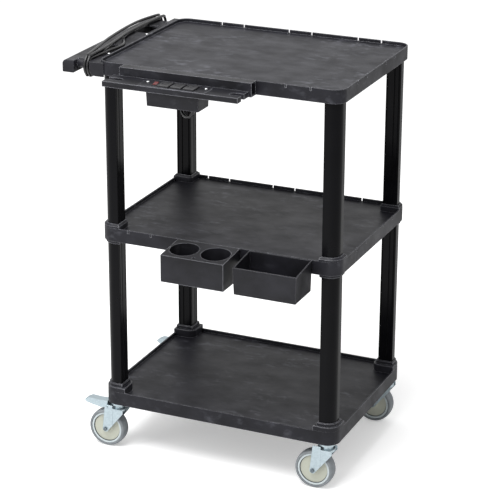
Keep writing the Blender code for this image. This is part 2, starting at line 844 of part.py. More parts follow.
def build_bottom_tray():
    """Bottom tray: two-step bosses round the lower posts, and a hole for each caster's stem."""
    part = tray("bottom_shelf", BOTTOM_RIM, BOTTOM_SKIRT)
    step = BOTTOM_RIM + BOTTOM_BLOCK_HEIGHT
    top = step + COLLAR_HEIGHT
    blocks = corner_plates(
        lambda signs: corner_outline(signs, SEAM, BOTTOM_BLOCK_MARGIN, BOTTOM_BLOCK_RADIUS),
        CASTER_HEIGHT + BLOCK_RISE,
        step,
        BOTTOM_BLOCK_EDGE,
    )
    join(part, "blocks", blocks)
    collars = corner_plates(
        lambda signs: post_outline(signs, COLLAR_MARGIN),
        step - COLLAR_HEIGHT,
        top,
        COLLAR_EDGE,
    )
    join(part, "collars", collars)
    sockets = corner_plates(
        lambda signs: post_outline(signs, GAP),
        top - BOTTOM_SOCKET_DEPTH,
        top + OVERRUN,
    )
    cut(part, "sockets", sockets)
    stems = []
    for signs in CORNERS.values():
        place = (signs[0] * CASTER_PLACE[0], signs[1] * CASTER_PLACE[1])
        low = CASTER_HEIGHT - OVERRUN
        high = CASTER_HEIGHT + BLOCK_RISE + STEM_LENGTH
        stems.append(rod(STEM_RADIUS + GAP, low, high, place, ROUND_STEPS))
    cut(part, "stem_holes", gather(stems))


def build_posts():
    """Eight hollow fluted posts, each seated in a socket at both ends."""
    bottom_socket = BOTTOM_RIM + BOTTOM_BLOCK_HEIGHT + COLLAR_HEIGHT - BOTTOM_SOCKET_DEPTH
    middle_low = MIDDLE_UNDER - UNDER_COLLAR_HEIGHT + LOWER_SOCKET_DEPTH
    middle_high = MIDDLE_RIM + MIDDLE_BOSS_HEIGHT - UPPER_SOCKET_DEPTH
    top_socket = TOP_RIM - RIM_DEPTH - TOP_SOCKET_CAP
    spans = {"lower_post": (bottom_socket, middle_low), "upper_post": (middle_high, top_socket)}
    for kind, (low, high) in spans.items():
        for corner, signs in CORNERS.items():
            bore = post_outline(signs, -POST_WALL)
            mesh = plate([fluted_outline(signs), bore], low + GAP, high - GAP)
            make_part(f"{kind}_{corner}", mesh, POST_PLASTIC)


def arm_nose(side, place, low, high):
    """The round outer side of a handle arm, between two places along X."""
    radius = ARM_HEIGHT / 2 - NOSE_STEP
    line = HANDLE_TOP - ARM_HEIGHT / 2
    outline = arc((place, line), radius, -90, 90, ARC_STEPS)
    outline += [(place - WEB_LAP, line + radius), (place - WEB_LAP, line - radius)]
    outline = [(side * y, z) for y, z in outline]
    mesh = plate([outline], -high, -low, upright=True)
    mesh.transform(Matrix.Rotation(math.pi / 2, 4, "Z"))
    return mesh


def build_handle():
    """Push handle: bar, web with two hand holes, arms and the two blocks that wrap the tray's corners."""
    bar_low = HANDLE_TOP - BAR_HEIGHT
    profile = [
        (BAR_INNER, bar_low + BAR_EDGE),
        (BAR_INNER, HANDLE_TOP),
    ]
    profile += arc((BAR_OUTER + BAR_ROUND, HANDLE_TOP - BAR_ROUND), BAR_ROUND, 90, 180, SMALL_STEPS)
    profile += [(BAR_OUTER, bar_low + BAR_EDGE), (BAR_OUTER + BAR_EDGE, bar_low)]
    profile.append((BAR_INNER - BAR_EDGE, bar_low))
    part = make_part("push_handle", plate([profile], -HALF_WIDTH, HALF_WIDTH, upright=True), PLASTIC)

    arm_end = HALF_WIDTH - ARM_INSET
    nose = arm_end - ARM_HEIGHT / 2
    inner = BAR_INNER - WEB_LAP
    outer = LEFT - GAP
    flange = outer - FLANGE_WIDTH
    web_outline = [(inner, -nose), (outer, -nose), (outer, nose), (inner, nose)]
    holes = []
    spans = [[FRONT + reach for reach in FRONT_HOLE_REACH], [HALF_WIDTH - reach for reach in REAR_HOLE_REACH]]
    for low, high in spans:
        corner_low = (BAR_INNER + HAND_HOLE_START, low)
        corner_high = (flange + HAND_HOLE_END, high)
        holes.append(rounded(corner_low, corner_high, HAND_HOLE_EDGE, SMALL_STEPS))
    join(part, "web", plate([web_outline, *holes], HANDLE_TOP - WEB_THICKNESS, HANDLE_TOP - SEAM))

    frame_outer = [(inner + SEAM, SEAM - nose), (outer - SEAM, SEAM - nose)]
    frame_outer += [(outer - SEAM, nose - SEAM), (inner + SEAM, nose - SEAM)]
    frame_inner = rounded(
        (BAR_INNER + SEAM, ARM_WIDTH - arm_end),
        (flange, arm_end - ARM_WIDTH),
        HAND_HOLE_EDGE,
        SMALL_STEPS,
    )
    frame = plate([frame_outer, frame_inner], HANDLE_TOP - ARM_HEIGHT, HANDLE_TOP - WEB_THICKNESS / 2)
    join(part, "frame", frame)
    noses = [arm_nose(side, nose, inner + NOSE_STEP, outer - NOSE_STEP) for side in (-1, 1)]
    join(part, "noses", gather(noses))

    block_top = TOP_RIM - BLOCK_TOP_DROP
    block_low = block_top - BLOCK_HEIGHT
    block_left = flange
    block_right = flange + BLOCK_REACH
    side = [(block_right, block_low), (block_right, block_top), (block_left, block_top)]
    side += arc((block_left + BLOCK_ROUND, block_low + BLOCK_ROUND), BLOCK_ROUND, 180, 270, ARC_STEPS)
    blocks = []
    for sign in (-1, 1):
        span = sorted((sign * (HALF_WIDTH - SEAM), sign * (HALF_WIDTH - BLOCK_WIDTH)))
        blocks.append(plate([side], span[0], span[1], upright=True))
    join(part, "blocks", gather(blocks))
    cut(part, "tray_corner", plate([tray_outline(-GAP)], block_low - OVERRUN, block_top + OVERRUN))
    line = LEFT - HANDLE_SCREW_LINE
    places = [(line, FRONT + FRONT_SCREW_REACH), (line, spans[1][0] - REAR_SCREW_MARGIN)]
    bores = []
    for place in places:
        bores.append(screw_hole(HANDLE_TOP, block_top, place))
    cut(part, "screw_holes", gather(bores))
    for name, place in zip(("front", "back"), places):
        screw(f"handle_screw_{name}", place, HANDLE_TOP - SEAM)


def screw_hole(seat, high, place):
    """The clearance hole for a screw's shank."""
    return rod(SCREW_SHANK / 2 + GAP, seat - SCREW_LENGTH - GAP, high, place, ROUND_STEPS)


def screw(name, place, seat):
    """A low round-headed screw standing on its seat."""
    head = SCREW_HEAD / 2
    top = seat + GAP + SCREW_HEAD_HEIGHT
    tip = seat - SCREW_LENGTH + GAP
    profile = [
        (0, top),
        (head * SCREW_CROWN_SHARE, top - SCREW_HEAD_HEIGHT * SCREW_DOME_SHARE),
        (head, top - SCREW_HEAD_HEIGHT * SCREW_CROWN_SHARE),
        (head, seat + GAP),
        (SCREW_SHANK / 2, seat + GAP),
        (SCREW_SHANK / 2, tip),
        (0, tip),
    ]
    return turned(name, profile, ROUND_STEPS, ZINC, location=(*place, 0))


def hooks(places, face, rim):
    """T-shaped hooks for a piece whose back face stands before the rim: shank, bridge and inner head."""
    meshes = []
    half = HOOK_WIDTH / 2
    seat = rim - NOTCH_DEPTH + GAP
    top = seat + HOOK_RISE
    inner = FRONT + RIM_THICKNESS + GAP
    for place in places:
        low = (place - half, face - HOOK_HEAD_THICKNESS, seat)
        meshes.append(box(low, (place + half, inner + SEAM, top)))
    heads = []
    half = HOOK_HEAD / 2
    for place in places:
        low = (place - half, inner, seat + SEAM)
        heads.append(box(low, (place + half, inner + HOOK_HEAD_THICKNESS, top - SEAM)))
    return gather(meshes), gather(heads)


def notches_within(span, turned_round):
    """The front rim's notches that a piece of this span covers."""
    places = notch_places(turned_round)[0]
    return [place for place in places if span[0] + HOOK_HEAD < place < span[1] - HOOK_HEAD]


def build_bracket():
    """Strip bracket: a hollow rail hooked on the top tray's rim, and a thick plate with forked ends."""
    face = FRONT - GAP
    rail_front = FRONT - RAIL_DEPTH
    rail_low = TOP_UNDER + SEAM
    rail = box((RAIL_SPAN[0], rail_front, rail_low), (RAIL_SPAN[1], face, TOP_RIM))
    part = make_part("strip_bracket", rail, PLASTIC)

    plate_front = FRONT - PLATE_FRONT
    plate_back = rail_front + RAIL_WALL / 2
    slab = box((PLATE_SPAN[0], plate_front, PLATE_UNDER), (PLATE_SPAN[1], plate_back, PLATE_TOP))
    join(part, "plate", slab)
    forks = []
    radius = (PRONG_CUT[1] - PRONG_CUT[0]) / 2
    line = FRONT - (PRONG_CUT[0] + PRONG_CUT[1]) / 2
    for side, end, depth in ((-1, PLATE_SPAN[0], PRONG_DEPTH), (1, PLATE_SPAN[1], PRONG_DEPTH_RIGHT)):
        outside = end + side * OVERRUN
        outline = arc((end - side * (depth - radius), line), radius, 90, 90 + 180 * side, ARC_STEPS)
        outline += [(outside, line - radius), (outside, line + radius)]
        forks.append(plate([outline], PLATE_UNDER - OVERRUN, PLATE_TOP + OVERRUN))
    cut(part, "forks", gather(forks))

    hollow = box(
        (RAIL_SPAN[0] - OVERRUN, rail_front + RAIL_WALL, rail_low + RAIL_WALL),
        (RAIL_SPAN[1] + OVERRUN, face - RAIL_WALL, TOP_RIM - RAIL_WALL),
    )
    cut(part, "hollow", hollow)
    recess = box(
        (PANEL_SPAN[0] - GAP, FRONT - PANEL_LAP[1] - GAP, PLATE_TOP - PANEL_RECESS),
        (PANEL_SPAN[1] + GAP, FRONT - PANEL_LAP[0] + GAP, PLATE_TOP + OVERRUN),
    )
    cut(part, "panel_recess", recess)
    well = box(
        (BOX_SPAN[0] + BOX_WALL, FRONT - BOX_LAP[1] + BOX_WALL, PLATE_UNDER - OVERRUN),
        (BOX_SPAN[1] - BOX_WALL, FRONT - PANEL_LAP[0] - PLATE_WALL, PLATE_TOP - PANEL_RECESS + SEAM),
    )
    cut(part, "well", well)
    cut(part, "outlet_pockets", gather(outlet_windows(OUTLET_FOOT - GAP, PLATE_TOP)))
    bores = []
    for place in panel_screw_places():
        bores.append(screw_hole(PLATE_TOP, PLATE_TOP, place))
    cut(part, "screw_holes", gather(bores))
    shanks, heads = hooks(notches_within(RAIL_SPAN, False), face, TOP_RIM)
    join(part, "hook_shanks", shanks)
    join(part, "hook_heads", heads)


def panel_screw_places():
    """One screw near each end of the panel."""
    line = FRONT - PANEL_SCREW_LINE
    return ((PANEL_SPAN[0] + PANEL_SCREW_INSET, line), (PANEL_SPAN[1] - PANEL_SCREW_INSET, line))


def outlet_places():
    """The three outlets, evenly spaced."""
    return [OUTLET_FIRST + step * OUTLET_PITCH for step in range(3)]


def outlet_windows(low, high):
    """Clearance cuts for the outlets, between two heights."""
    line = FRONT - OUTLET_LINE
    half = (OUTLET_LENGTH / 2 + GAP, OUTLET_WIDTH / 2 + GAP)
    windows = []
    for place in outlet_places():
        windows.append(box((place - half[0], line - half[1], low), (place + half[0], line + half[1], high)))
    return windows


def build_panel():
    """Cover panel with cut-outs for the outlets and the switch."""
    line = FRONT - OUTLET_LINE
    windows = outlet_windows(PANEL_SEAT - OVERRUN, PANEL_TOP + OVERRUN)
    half = (SWITCH_LENGTH / 2 + GAP, SWITCH_WIDTH / 2 + GAP)
    windows.append(box(
        (SWITCH_PLACE - half[0], line - half[1], PANEL_SEAT - OVERRUN),
        (SWITCH_PLACE + half[0], line + half[1], PANEL_TOP + OVERRUN),
    ))
    low = (PANEL_SPAN[0], FRONT - PANEL_LAP[1], PANEL_SEAT)
    slab = box(low, (PANEL_SPAN[1], FRONT - PANEL_LAP[0], PANEL_TOP))
    part = make_part("strip_panel", slab, PLASTIC)
    cut(part, "windows", gather(windows))
    bores = []
    for place in panel_screw_places():
        bores.append(screw_hole(PANEL_SEAT, PANEL_TOP + OVERRUN, place))
    cut(part, "screw_holes", gather(bores))
    for name, place in zip(("left", "right"), panel_screw_places()):
        screw(f"panel_screw_{name}", place, PANEL_TOP)


def build_outlets():
    """Three outlets with two blade slots and an earth hole each."""
    top = PANEL_TOP + OUTLET_RISE
    line = FRONT - OUTLET_LINE
    for number, place in enumerate(outlet_places(), start=1):
        half = (OUTLET_LENGTH / 2, OUTLET_WIDTH / 2)
        low = (place - half[0], line - half[1], OUTLET_FOOT)
        block = box(low, (place + half[0], line + half[1], top))
        chamfer_ends(block, OUTLET_EDGE)
        part = make_part(f"outlet_{number}", block, OUTLET_PLASTIC)
        slots = []
        for side, length in zip((-1, 1), SLOT_LENGTHS):
            middle = line + side * SLOT_SPACING / 2
            shift = place + SLOT_OFFSET
            slots.append(box(
                (shift - length / 2, middle - SLOT_WIDTH / 2, top - SLOT_DEPTH),
                (shift + length / 2, middle + SLOT_WIDTH / 2, top + OVERRUN),
            ))
        earth = (place - EARTH_OFFSET, line)
        slots.append(rod(EARTH_DIAMETER / 2, top - SLOT_DEPTH, top + OVERRUN, earth, ROUND_STEPS))
        cut(part, "slots", gather(slots))


def build_switch():
    """Rocker switch: a frame in the panel and the rocker that tips in it."""
    top = PANEL_TOP + SWITCH_RISE
    line = FRONT - OUTLET_LINE
    half = (SWITCH_LENGTH / 2, SWITCH_WIDTH / 2)
    outer = [
        (SWITCH_PLACE - half[0], line - half[1]),
        (SWITCH_PLACE + half[0], line - half[1]),
        (SWITCH_PLACE + half[0], line + half[1]),
        (SWITCH_PLACE - half[0], line + half[1]),
    ]
    opening = (half[0] - SWITCH_FRAME, half[1] - SWITCH_FRAME)
    inner = [
        (SWITCH_PLACE - opening[0], line - opening[1]),
        (SWITCH_PLACE - opening[0], line + opening[1]),
        (SWITCH_PLACE + opening[0], line + opening[1]),
        (SWITCH_PLACE + opening[0], line - opening[1]),
    ]
    make_part("switch_frame", plate([outer, inner], PANEL_SEAT - SWITCH_BODY, top), OUTLET_PLASTIC)

    reach = opening[1] - ROCKER_GAP
    outline = [
        (-reach, ROCKER_RISE),
        (-reach + ROCKER_CREASE, -ROCKER_DEPTH),
        (reach - ROCKER_CREASE, -ROCKER_DEPTH),
        (reach, ROCKER_RISE),
        (0, ROCKER_RISE - ROCKER_CREASE),
    ]
    width = opening[0] - GAP
    rocker = plate([outline], -width, width, upright=True)
    rocker.transform(Matrix.Rotation(math.pi / 2, 4, "Z"))
    axis = (SWITCH_PLACE, line, top - SWITCH_RISE)
    part = make_part("switch_rocker", rocker, ROCKER_PLASTIC, location=axis)
    part.rotation_euler = (ROCKER_TILT, 0, 0)


def tapered_box(low, high, inset, front_drop):
    """A block whose foot is drawn in all round and whose top slopes down towards the front."""
    mesh = box(low, high)
    middle = ((low[0] + high[0]) / 2, (low[1] + high[1]) / 2, (low[2] + high[2]) / 2)
    for vertex in mesh.vertices:
        if vertex.co.z < middle[2]:
            vertex.co.x += inset if vertex.co.x < middle[0] else -inset
            vertex.co.y += inset if vertex.co.y < middle[1] else 0
        elif vertex.co.y < middle[1]:
            vertex.co.z -= front_drop
    return mesh


def build_strip_box():
    """The box that hangs under the strip: four walls and a floor, open above, with a hole for the cord."""
    low = (BOX_SPAN[0], FRONT - BOX_LAP[1], PLATE_UNDER - GAP - BOX_HEIGHT)
    high = (BOX_SPAN[1], FRONT - BOX_LAP[0] - HOLDER_GAP, PLATE_UNDER - GAP)
    part = make_part("strip_box", tapered_box(low, high, BOX_TAPER, 0), PLASTIC)
    inside = tapered_box(
        (low[0] + BOX_WALL, low[1] + BOX_WALL, low[2] + BOX_WALL),
        (high[0] - BOX_WALL, high[1] - BOX_WALL, high[2] + BOX_WALL),
        BOX_TAPER,
        0,
    )
    cut(part, "inside", inside)
    place = (RELIEF_PLACE[0], FRONT + RELIEF_PLACE[1])
    hole = rod(RELIEF_HOLE / 2, low[2] - OVERRUN, low[2] + OVERRUN, place, ROUND_STEPS)
    cut(part, "cord_hole", hole)
    return low[2]


def build_relief(floor):
    """Strain relief: a bushing held on both sides of the box's floor, with a tapered sleeve below."""
    neck = RELIEF_HOLE / 2 - GAP
    collar = RELIEF_COLLAR / 2
    above = floor + BOX_WALL + GAP
    below = floor - GAP
    profile = [
        (0, above + RELIEF_TAIL),
        (RELIEF_TIP / 2, above + RELIEF_TAIL),
        (RELIEF_TIP / 2, above + RELIEF_COLLAR_HEIGHT),
        (collar, above + RELIEF_COLLAR_HEIGHT),
        (collar, above),
        (neck, above),
        (neck, below),
        (collar, below),
        (collar, below - RELIEF_COLLAR_HEIGHT / 2),
        (RELIEF_TOP / 2, below - RELIEF_COLLAR_HEIGHT),
        (RELIEF_TIP / 2, floor - RELIEF_LENGTH),
        (0, floor - RELIEF_LENGTH),
    ]
    place = (RELIEF_PLACE[0], FRONT + RELIEF_PLACE[1], 0)
    turned("cord_relief", profile, ROUND_STEPS, CORD_RUBBER, location=place)


def smooth_route(points, spacing):
    """Evenly spaced points on a smooth curve through hand-chosen ones."""
    chosen = [Vector(point) for point in points]
    chain = [chosen[0] * 2 - chosen[1], *chosen, chosen[-1] * 2 - chosen[-2]]
    fine = []
    for index in range(1, len(chain) - 2):
        before, start, end, after = chain[index - 1:index + 3]
        for step in range(CURVE_STEPS):
            t = step / CURVE_STEPS
            fine.append(0.5 * (
                2 * start
                + (end - before) * t
                + (2 * before - 5 * start + 4 * end - after) * t * t
                + (3 * start - before - 3 * end + after) * t * t * t
            ))
    fine.append(chosen[-1])
    return resample(fine, spacing)


def resample(points, spacing):
    """The same path with its points evenly spaced."""
    lengths = [0.0]
    for start, end in zip(points, points[1:]):
        lengths.append(lengths[-1] + (end - start).length)
    count = max(2, round(lengths[-1] / spacing))
    spaced = []
    index = 0
    for step in range(count + 1):
        wanted = lengths[-1] * step / count
        while index < len(lengths) - 2 and lengths[index + 1] < wanted:
            index += 1
        span = lengths[index + 1] - lengths[index]
        share = (wanted - lengths[index]) / span if span else 0
        spaced.append(points[index].lerp(points[index + 1], share))
    return spaced


def path_length(points):
    """Length along a path."""
    return sum((end - start).length for start, end in zip(points, points[1:]))


def half_turn(side, column, centre, radii):
    """Points round one arm's outer side, rising at the front (side -1) and falling at the back."""
    points = []
    for step in range(TURN_POINTS):
        share = (step + 0.5) / TURN_POINTS
        angle = math.pi * share
        radius = radii[0] + (radii[1] - radii[0]) * share
        points.append(Vector((
            LEFT + column,
            side * (LOOP_REACH + radius * math.sin(angle)),
            centre + side * radius * math.cos(angle),
        )))
    return points


def run_path():
    """The free cord's way from the strain relief to the winding, with a straight piece at each end."""
    edge = Vector((0, FRONT, TOP_RIM))
    points = [edge + Vector(point) for point in STRIP_ROUTE]
    edge.x = LEFT
    points += [edge + Vector(point) for point in HANDLE_ROUTE]
    return [points[0], *smooth_route(points[1:-1], CORD_SPACING), points[-1]]


def winding_path(start):
    """The cord's turns on the handle: round the front arm, back along the top, round the rear arm, under."""
    centre = HANDLE_TOP + CORD_DIAMETER / 2 + WINDING_GAP - LOOP_INNER
    path = [start, start - Vector((0, CORD_DIAMETER, 0))]
    last = len(FRONT_COLUMNS) - 1
    for loop in range(len(FRONT_COLUMNS)):
        layer = LOOP_LAYERS[loop]
        radius = LOOP_INNER + layer * LAYER_STEP
        column = FRONT_COLUMNS[loop]
        path += half_turn(-1, column, centre, (radius, radius))
        height = centre + radius
        for step, x in enumerate(TOP_DRIFT[loop]):
            share = (step + 1) / (RUN_POINTS + 1)
            path.append(Vector((LEFT + x, LOOP_REACH * (2 * share - 1), height)))
        column = REAR_COLUMNS[loop]
        if loop == last:
            path += half_turn(1, column, centre, (radius, LOOP_INNER))
            break
        path += half_turn(1, column, centre, (radius, radius))
        for step, x in enumerate(BOTTOM_DRIFT[loop]):
            share = (step + 1) / (RUN_POINTS + 1)
            height = centre - LOOP_INNER - BOTTOM_LAYERS[loop][step] * LAYER_STEP
            path.append(Vector((LEFT + x, LOOP_REACH * (1 - 2 * share), height)))
    edge = Vector((LEFT, HALF_WIDTH, TOP_RIM))
    path += [edge + Vector(point) for point in TAIL_ROUTE]
    return path


def least_gap(points):
    """The least distance between stretches of the winding that lie apart along it, less its diameter."""
    fine = resample(points, CORD_DIAMETER / 2)
    least = None
    for index, point in enumerate(fine):
        for other in fine[index + NEIGHBOUR_POINTS:]:
            distance = (other - point).length
            if least is None or distance < least:
                least = distance
    return least - CORD_DIAMETER


def build_cord():
    """The cord's free run, its winding on the handle, its plug and the clips that carry it."""
    run = run_path()
    make_part("cord_run", tube(run, CORD_DIAMETER, CORD_SIDES), CORD_RUBBER)
    winding = winding_path(run[-1] - Vector((0, GAP, 0)))
    make_part("cord_winding", tube(winding, CORD_DIAMETER, WINDING_SIDES), CORD_RUBBER)
    print("cord run", round(path_length(run), 4), "winding", round(path_length(winding), 4))
    print("least gap in the winding, mm", round(least_gap(winding) * 1000, 2))
    end = winding[-1]
    build_plug(end + Vector((0, -GAP, 0)))
    ceiling = TOP_RIM - RIM_DEPTH - DECK_THICKNESS
    line = FRONT + CORD_LINE[0]
    height = TOP_RIM + CORD_LINE[1]
    for number, place in enumerate((CLIP_PLACE, LEFT + CLIP_FROM_END), start=1):
        radius = CORD_DIAMETER / 2 + CLIP_PLAY
        block = box(
            (place - CLIP_LENGTH / 2, line - CLIP_WIDTH / 2, height - radius - CLIP_FLOOR),
            (place + CLIP_LENGTH / 2, line + CLIP_WIDTH / 2, ceiling - GAP),
        )
        clip = make_part(f"cord_clip_{number}", block, PLASTIC)
        bore = rod(radius, place - CLIP_LENGTH, place + CLIP_LENGTH, (line, height), ROUND_STEPS, axis="X")
        cut(clip, "bore", bore)


def build_plug(tip):
    """Mains plug: sleeve, body, two blades and an earth pin, pointing to the front."""
    x, y, z = tip
    length, width, height = PLUG_BODY
    back = y - PLUG_RELIEF
    front = back - length
    body = box((x - width / 2, front, z - height / 2), (x + width / 2, back, z + height / 2))
    part = make_part("cord_plug", body, CORD_RUBBER)
    bevel(part, PLUG_EDGE, 2)

    def sleeve(work):
        bmesh.ops.create_cone(
            work,
            cap_ends=True,
            segments=ROUND_STEPS,
            radius1=PLUG_RELIEF_ROOT / 2,
            radius2=PLUG_RELIEF_TIP / 2,
            depth=PLUG_RELIEF + PLUG_EDGE,
        )
        bmesh.ops.rotate(work, matrix=Matrix.Rotation(-math.pi / 2, 3, "X"), verts=work.verts)
        bmesh.ops.translate(work, vec=(x, back + (PLUG_RELIEF - PLUG_EDGE) / 2, z), verts=work.verts)

    join(part, "sleeve", mesh_from(sleeve))
    blades = []
    for side in (-1, 1):
        middle = x + side * SLOT_SPACING / 2
        blades.append(box(
            (middle - BLADE_THICKNESS / 2, front - BLADE_LENGTH, z - BLADE_WIDTH / 2 + PIN_DIAMETER / 2),
            (middle + BLADE_THICKNESS / 2, front + PLUG_EDGE, z + BLADE_WIDTH / 2 + PIN_DIAMETER / 2),
        ))
    pin = (x, z - PIN_DIAMETER)
    blades.append(rod(PIN_DIAMETER / 2, front - PIN_LENGTH, front + PLUG_EDGE, pin, ROUND_STEPS, axis="Y"))
    join(part, "blades", gather(blades))


def build_cup_holder():
    """Cup holder: a moulded shell, open beneath, with two round wells."""
    back = FRONT - HOLDER_GAP
    top = MIDDLE_RIM - HOLDER_BACK_DROP
    foot = MIDDLE_RIM - CUP_HOLDER_DROP - CUP_HOLDER_HEIGHT
    drop = CUP_HOLDER_DROP - HOLDER_BACK_DROP
    low = (CUP_HOLDER_SPAN[0], HOLDER_FACE, foot)
    high = (CUP_HOLDER_SPAN[1], back, top)
    part = make_part("cup_holder", tapered_box(low, high, 0, drop), PLASTIC)
    pocket = make_cutter("cup_holder.pocket", tapered_box(
        (low[0] + HOLDER_WALL, low[1] + HOLDER_WALL, low[2] - OVERRUN),
        (high[0] - HOLDER_WALL, high[1] - HOLDER_WALL, high[2] - HOLDER_WALL),
        0,
        drop,
    ))
    middle = (CUP_HOLDER_SPAN[0] + CUP_HOLDER_SPAN[1]) / 2
    line = FRONT - CUP_LINE
    places = [(middle + side * CUP_PITCH / 2, line) for side in (-1, 1)]
    outer = CUP_DIAMETER / 2 + CUP_WALL
    deep = foot - OVERRUN - SEAM
    columns = gather([rod(outer, deep, top + OVERRUN, place, CUP_STEPS) for place in places])
    combine(pocket, make_cutter("cup_holder.columns", columns), "DIFFERENCE")
    combine(part, pocket, "DIFFERENCE")
    floor = foot + HOLDER_WALL
    wells = gather([rod(CUP_DIAMETER / 2, floor, top + OVERRUN, place, CUP_STEPS) for place in places])
    cut(part, "wells", wells)
    drain_place = (middle, HOLDER_FACE + DRAIN_INSET)
    drain = rod(DRAIN_DIAMETER / 2, top - OVERRUN, top + OVERRUN, drain_place, ROUND_STEPS)
    cut(part, "drain", drain)
    shanks, heads = hooks(notches_within(CUP_HOLDER_SPAN, True), back, MIDDLE_RIM)
    join(part, "hook_shanks", shanks)
    join(part, "hook_heads", heads)


def build_bin():
    """Storage bin: an open box that hooks on the rim."""
    back = FRONT - HOLDER_GAP
    top = MIDDLE_RIM - HOLDER_BACK_DROP
    drop = BIN_DROP - HOLDER_BACK_DROP
    low = (BIN_SPAN[0], HOLDER_FACE, MIDDLE_RIM - BIN_DROP - BIN_HEIGHT)
    high = (BIN_SPAN[1], back, top)
    part = make_part("storage_bin", tapered_box(low, high, BIN_TAPER, drop), PLASTIC)
    bevel(part, HOLDER_EDGE)
    inside = tapered_box(
        (low[0] + HOLDER_WALL, low[1] + HOLDER_WALL, low[2] + HOLDER_WALL),
        (high[0] - HOLDER_WALL, high[1] - HOLDER_WALL, high[2] + OVERRUN),
        BIN_TAPER,
        0,
    )
    cut(part, "inside", inside)
    shanks, heads = hooks(notches_within(BIN_SPAN, True), back, MIDDLE_RIM)
    join(part, "hook_shanks", shanks)
    join(part, "hook_heads", heads)


def caster_mount(corner, parent):
    """The fixed half of a caster: stem, seat, cap and the kingpin riveted under the fork's plate."""
    seat = CASTER_HEIGHT + BLOCK_RISE - GAP
    cap_low = FORK_TOP + CAP_GAP
    plate_low = FORK_TOP - FORK_PLATE - GAP
    profile = [
        (0, seat + STEM_LENGTH),
        (STEM_RADIUS - GAP, seat + STEM_LENGTH),
        (STEM_RADIUS, seat + STEM_LENGTH - GAP),
        (STEM_RADIUS, seat),
        (SEAT_RADIUS, seat),
        (SEAT_RADIUS, seat - SEAT_HEIGHT),
        (CAP_RADIUS - CAP_ROUND, seat - SEAT_HEIGHT),
        (CAP_RADIUS, seat - SEAT_HEIGHT - CAP_ROUND),
        (CAP_RADIUS, cap_low),
        (KINGPIN_RADIUS, cap_low),
        (KINGPIN_RADIUS, plate_low),
        (KINGPIN_HEAD, plate_low),
        (KINGPIN_HEAD, plate_low - KINGPIN_HEAD_HEIGHT),
        (0, plate_low - KINGPIN_HEAD_HEIGHT),
    ]
    turned(f"caster_mount_{corner}", profile, ROUND_STEPS, ZINC, parent)


def tangent_angle(centre, radius, point, side):
    """Where a line from a point touches a circle, in degrees; side picks one of the two."""
    slope = math.atan2(point[1] - centre[1], point[0] - centre[0])
    reach = math.hypot(point[0] - centre[0], point[1] - centre[1])
    return math.degrees(slope + side * math.acos(radius / reach))


def leg_outline():
    """Side view of a fork leg: a strap up from the axle, and a web that slopes up to the plate."""
    axle = (-TRAIL, WHEEL_RADIUS)
    top = FORK_TOP - SEAM
    right = axle[0] + LEG_REACH
    shoulder = top - LEG_SHOULDER
    back = axle[0] - STRAP_BACK
    high = top + STRAP_RISE
    start = tangent_angle(axle, LEG_HALF, (back, high), 1)
    end = tangent_angle(axle, LEG_HALF, (right, shoulder), -1)
    points = arc(axle, LEG_HALF, start, 360 + end, ARC_STEPS)
    points += [(right, shoulder), (right, top), (back + STRAP_WIDTH, top)]
    points += [(back + STRAP_WIDTH, high), (back, high)]
    return points


def caster_fork(corner, parent, braked):
    """Pressed fork: a plate with its bearing ring, and a leg on each side of the wheel."""
    legs = []
    for side in (-1, 1):
        span = sorted((side * LEG_INNER, side * (LEG_INNER + LEG_THICKNESS)))
        legs.append(plate([leg_outline()], span[0], span[1], upright=True))
    radius = FORK_PLATE_RADIUS
    outline = [(-radius, -radius)]
    outline += arc((0, 0), radius, -90, 90, ROUND_STEPS // 2)
    outline.append((-radius, radius))
    part = make_part(
        f"caster_fork_{corner}",
        plate([outline], FORK_TOP - FORK_PLATE, FORK_TOP),
        ZINC,
        parent,
    )
    join(part, "legs", gather(legs))
    ring = rod(RACE_RADIUS, FORK_TOP - FORK_PLATE / 2, FORK_TOP + CAP_GAP - GAP, (0, 0), ROUND_STEPS)
    join(part, "ring", ring)
    bottom = FORK_TOP - FORK_PLATE - OVERRUN
    cut(part, "bore", rod(KINGPIN_RADIUS + GAP, bottom, FORK_TOP + OVERRUN, (0, 0), ROUND_STEPS))
    reach = LEG_INNER + OVERRUN
    axle_hole = rod(AXLE_RADIUS + GAP, -reach, reach, (-TRAIL, WHEEL_RADIUS), ROUND_STEPS, axis="Y")
    cut(part, "axle_hole", axle_hole)
    if braked:
        pedal_hole = rod(PEDAL_PIN_RADIUS + GAP, -reach, reach, PEDAL_PIVOT, ROUND_STEPS, axis="Y")
        cut(part, "pedal_hole", pedal_hole)


def caster_axle(corner, parent):
    """Axle bolt with a six-sided head and nut."""
    end = LEG_INNER + LEG_THICKNESS + GAP
    place = (-TRAIL, WHEEL_RADIUS)
    reach = end + BOLT_HEAD_HEIGHT / 2
    shaft = rod(AXLE_RADIUS, -reach, reach, place, ROUND_STEPS, axis="Y")
    part = make_part(f"caster_axle_{corner}", shaft, DARK_STEEL, parent)
    heads = []
    for side in (-1, 1):
        span = sorted((side * end, side * (end + BOLT_HEAD_HEIGHT)))
        heads.append(rod(BOLT_HEAD, span[0], span[1], place, BOLT_HEAD_SIDES, axis="Y"))
    join(part, "heads", gather(heads))


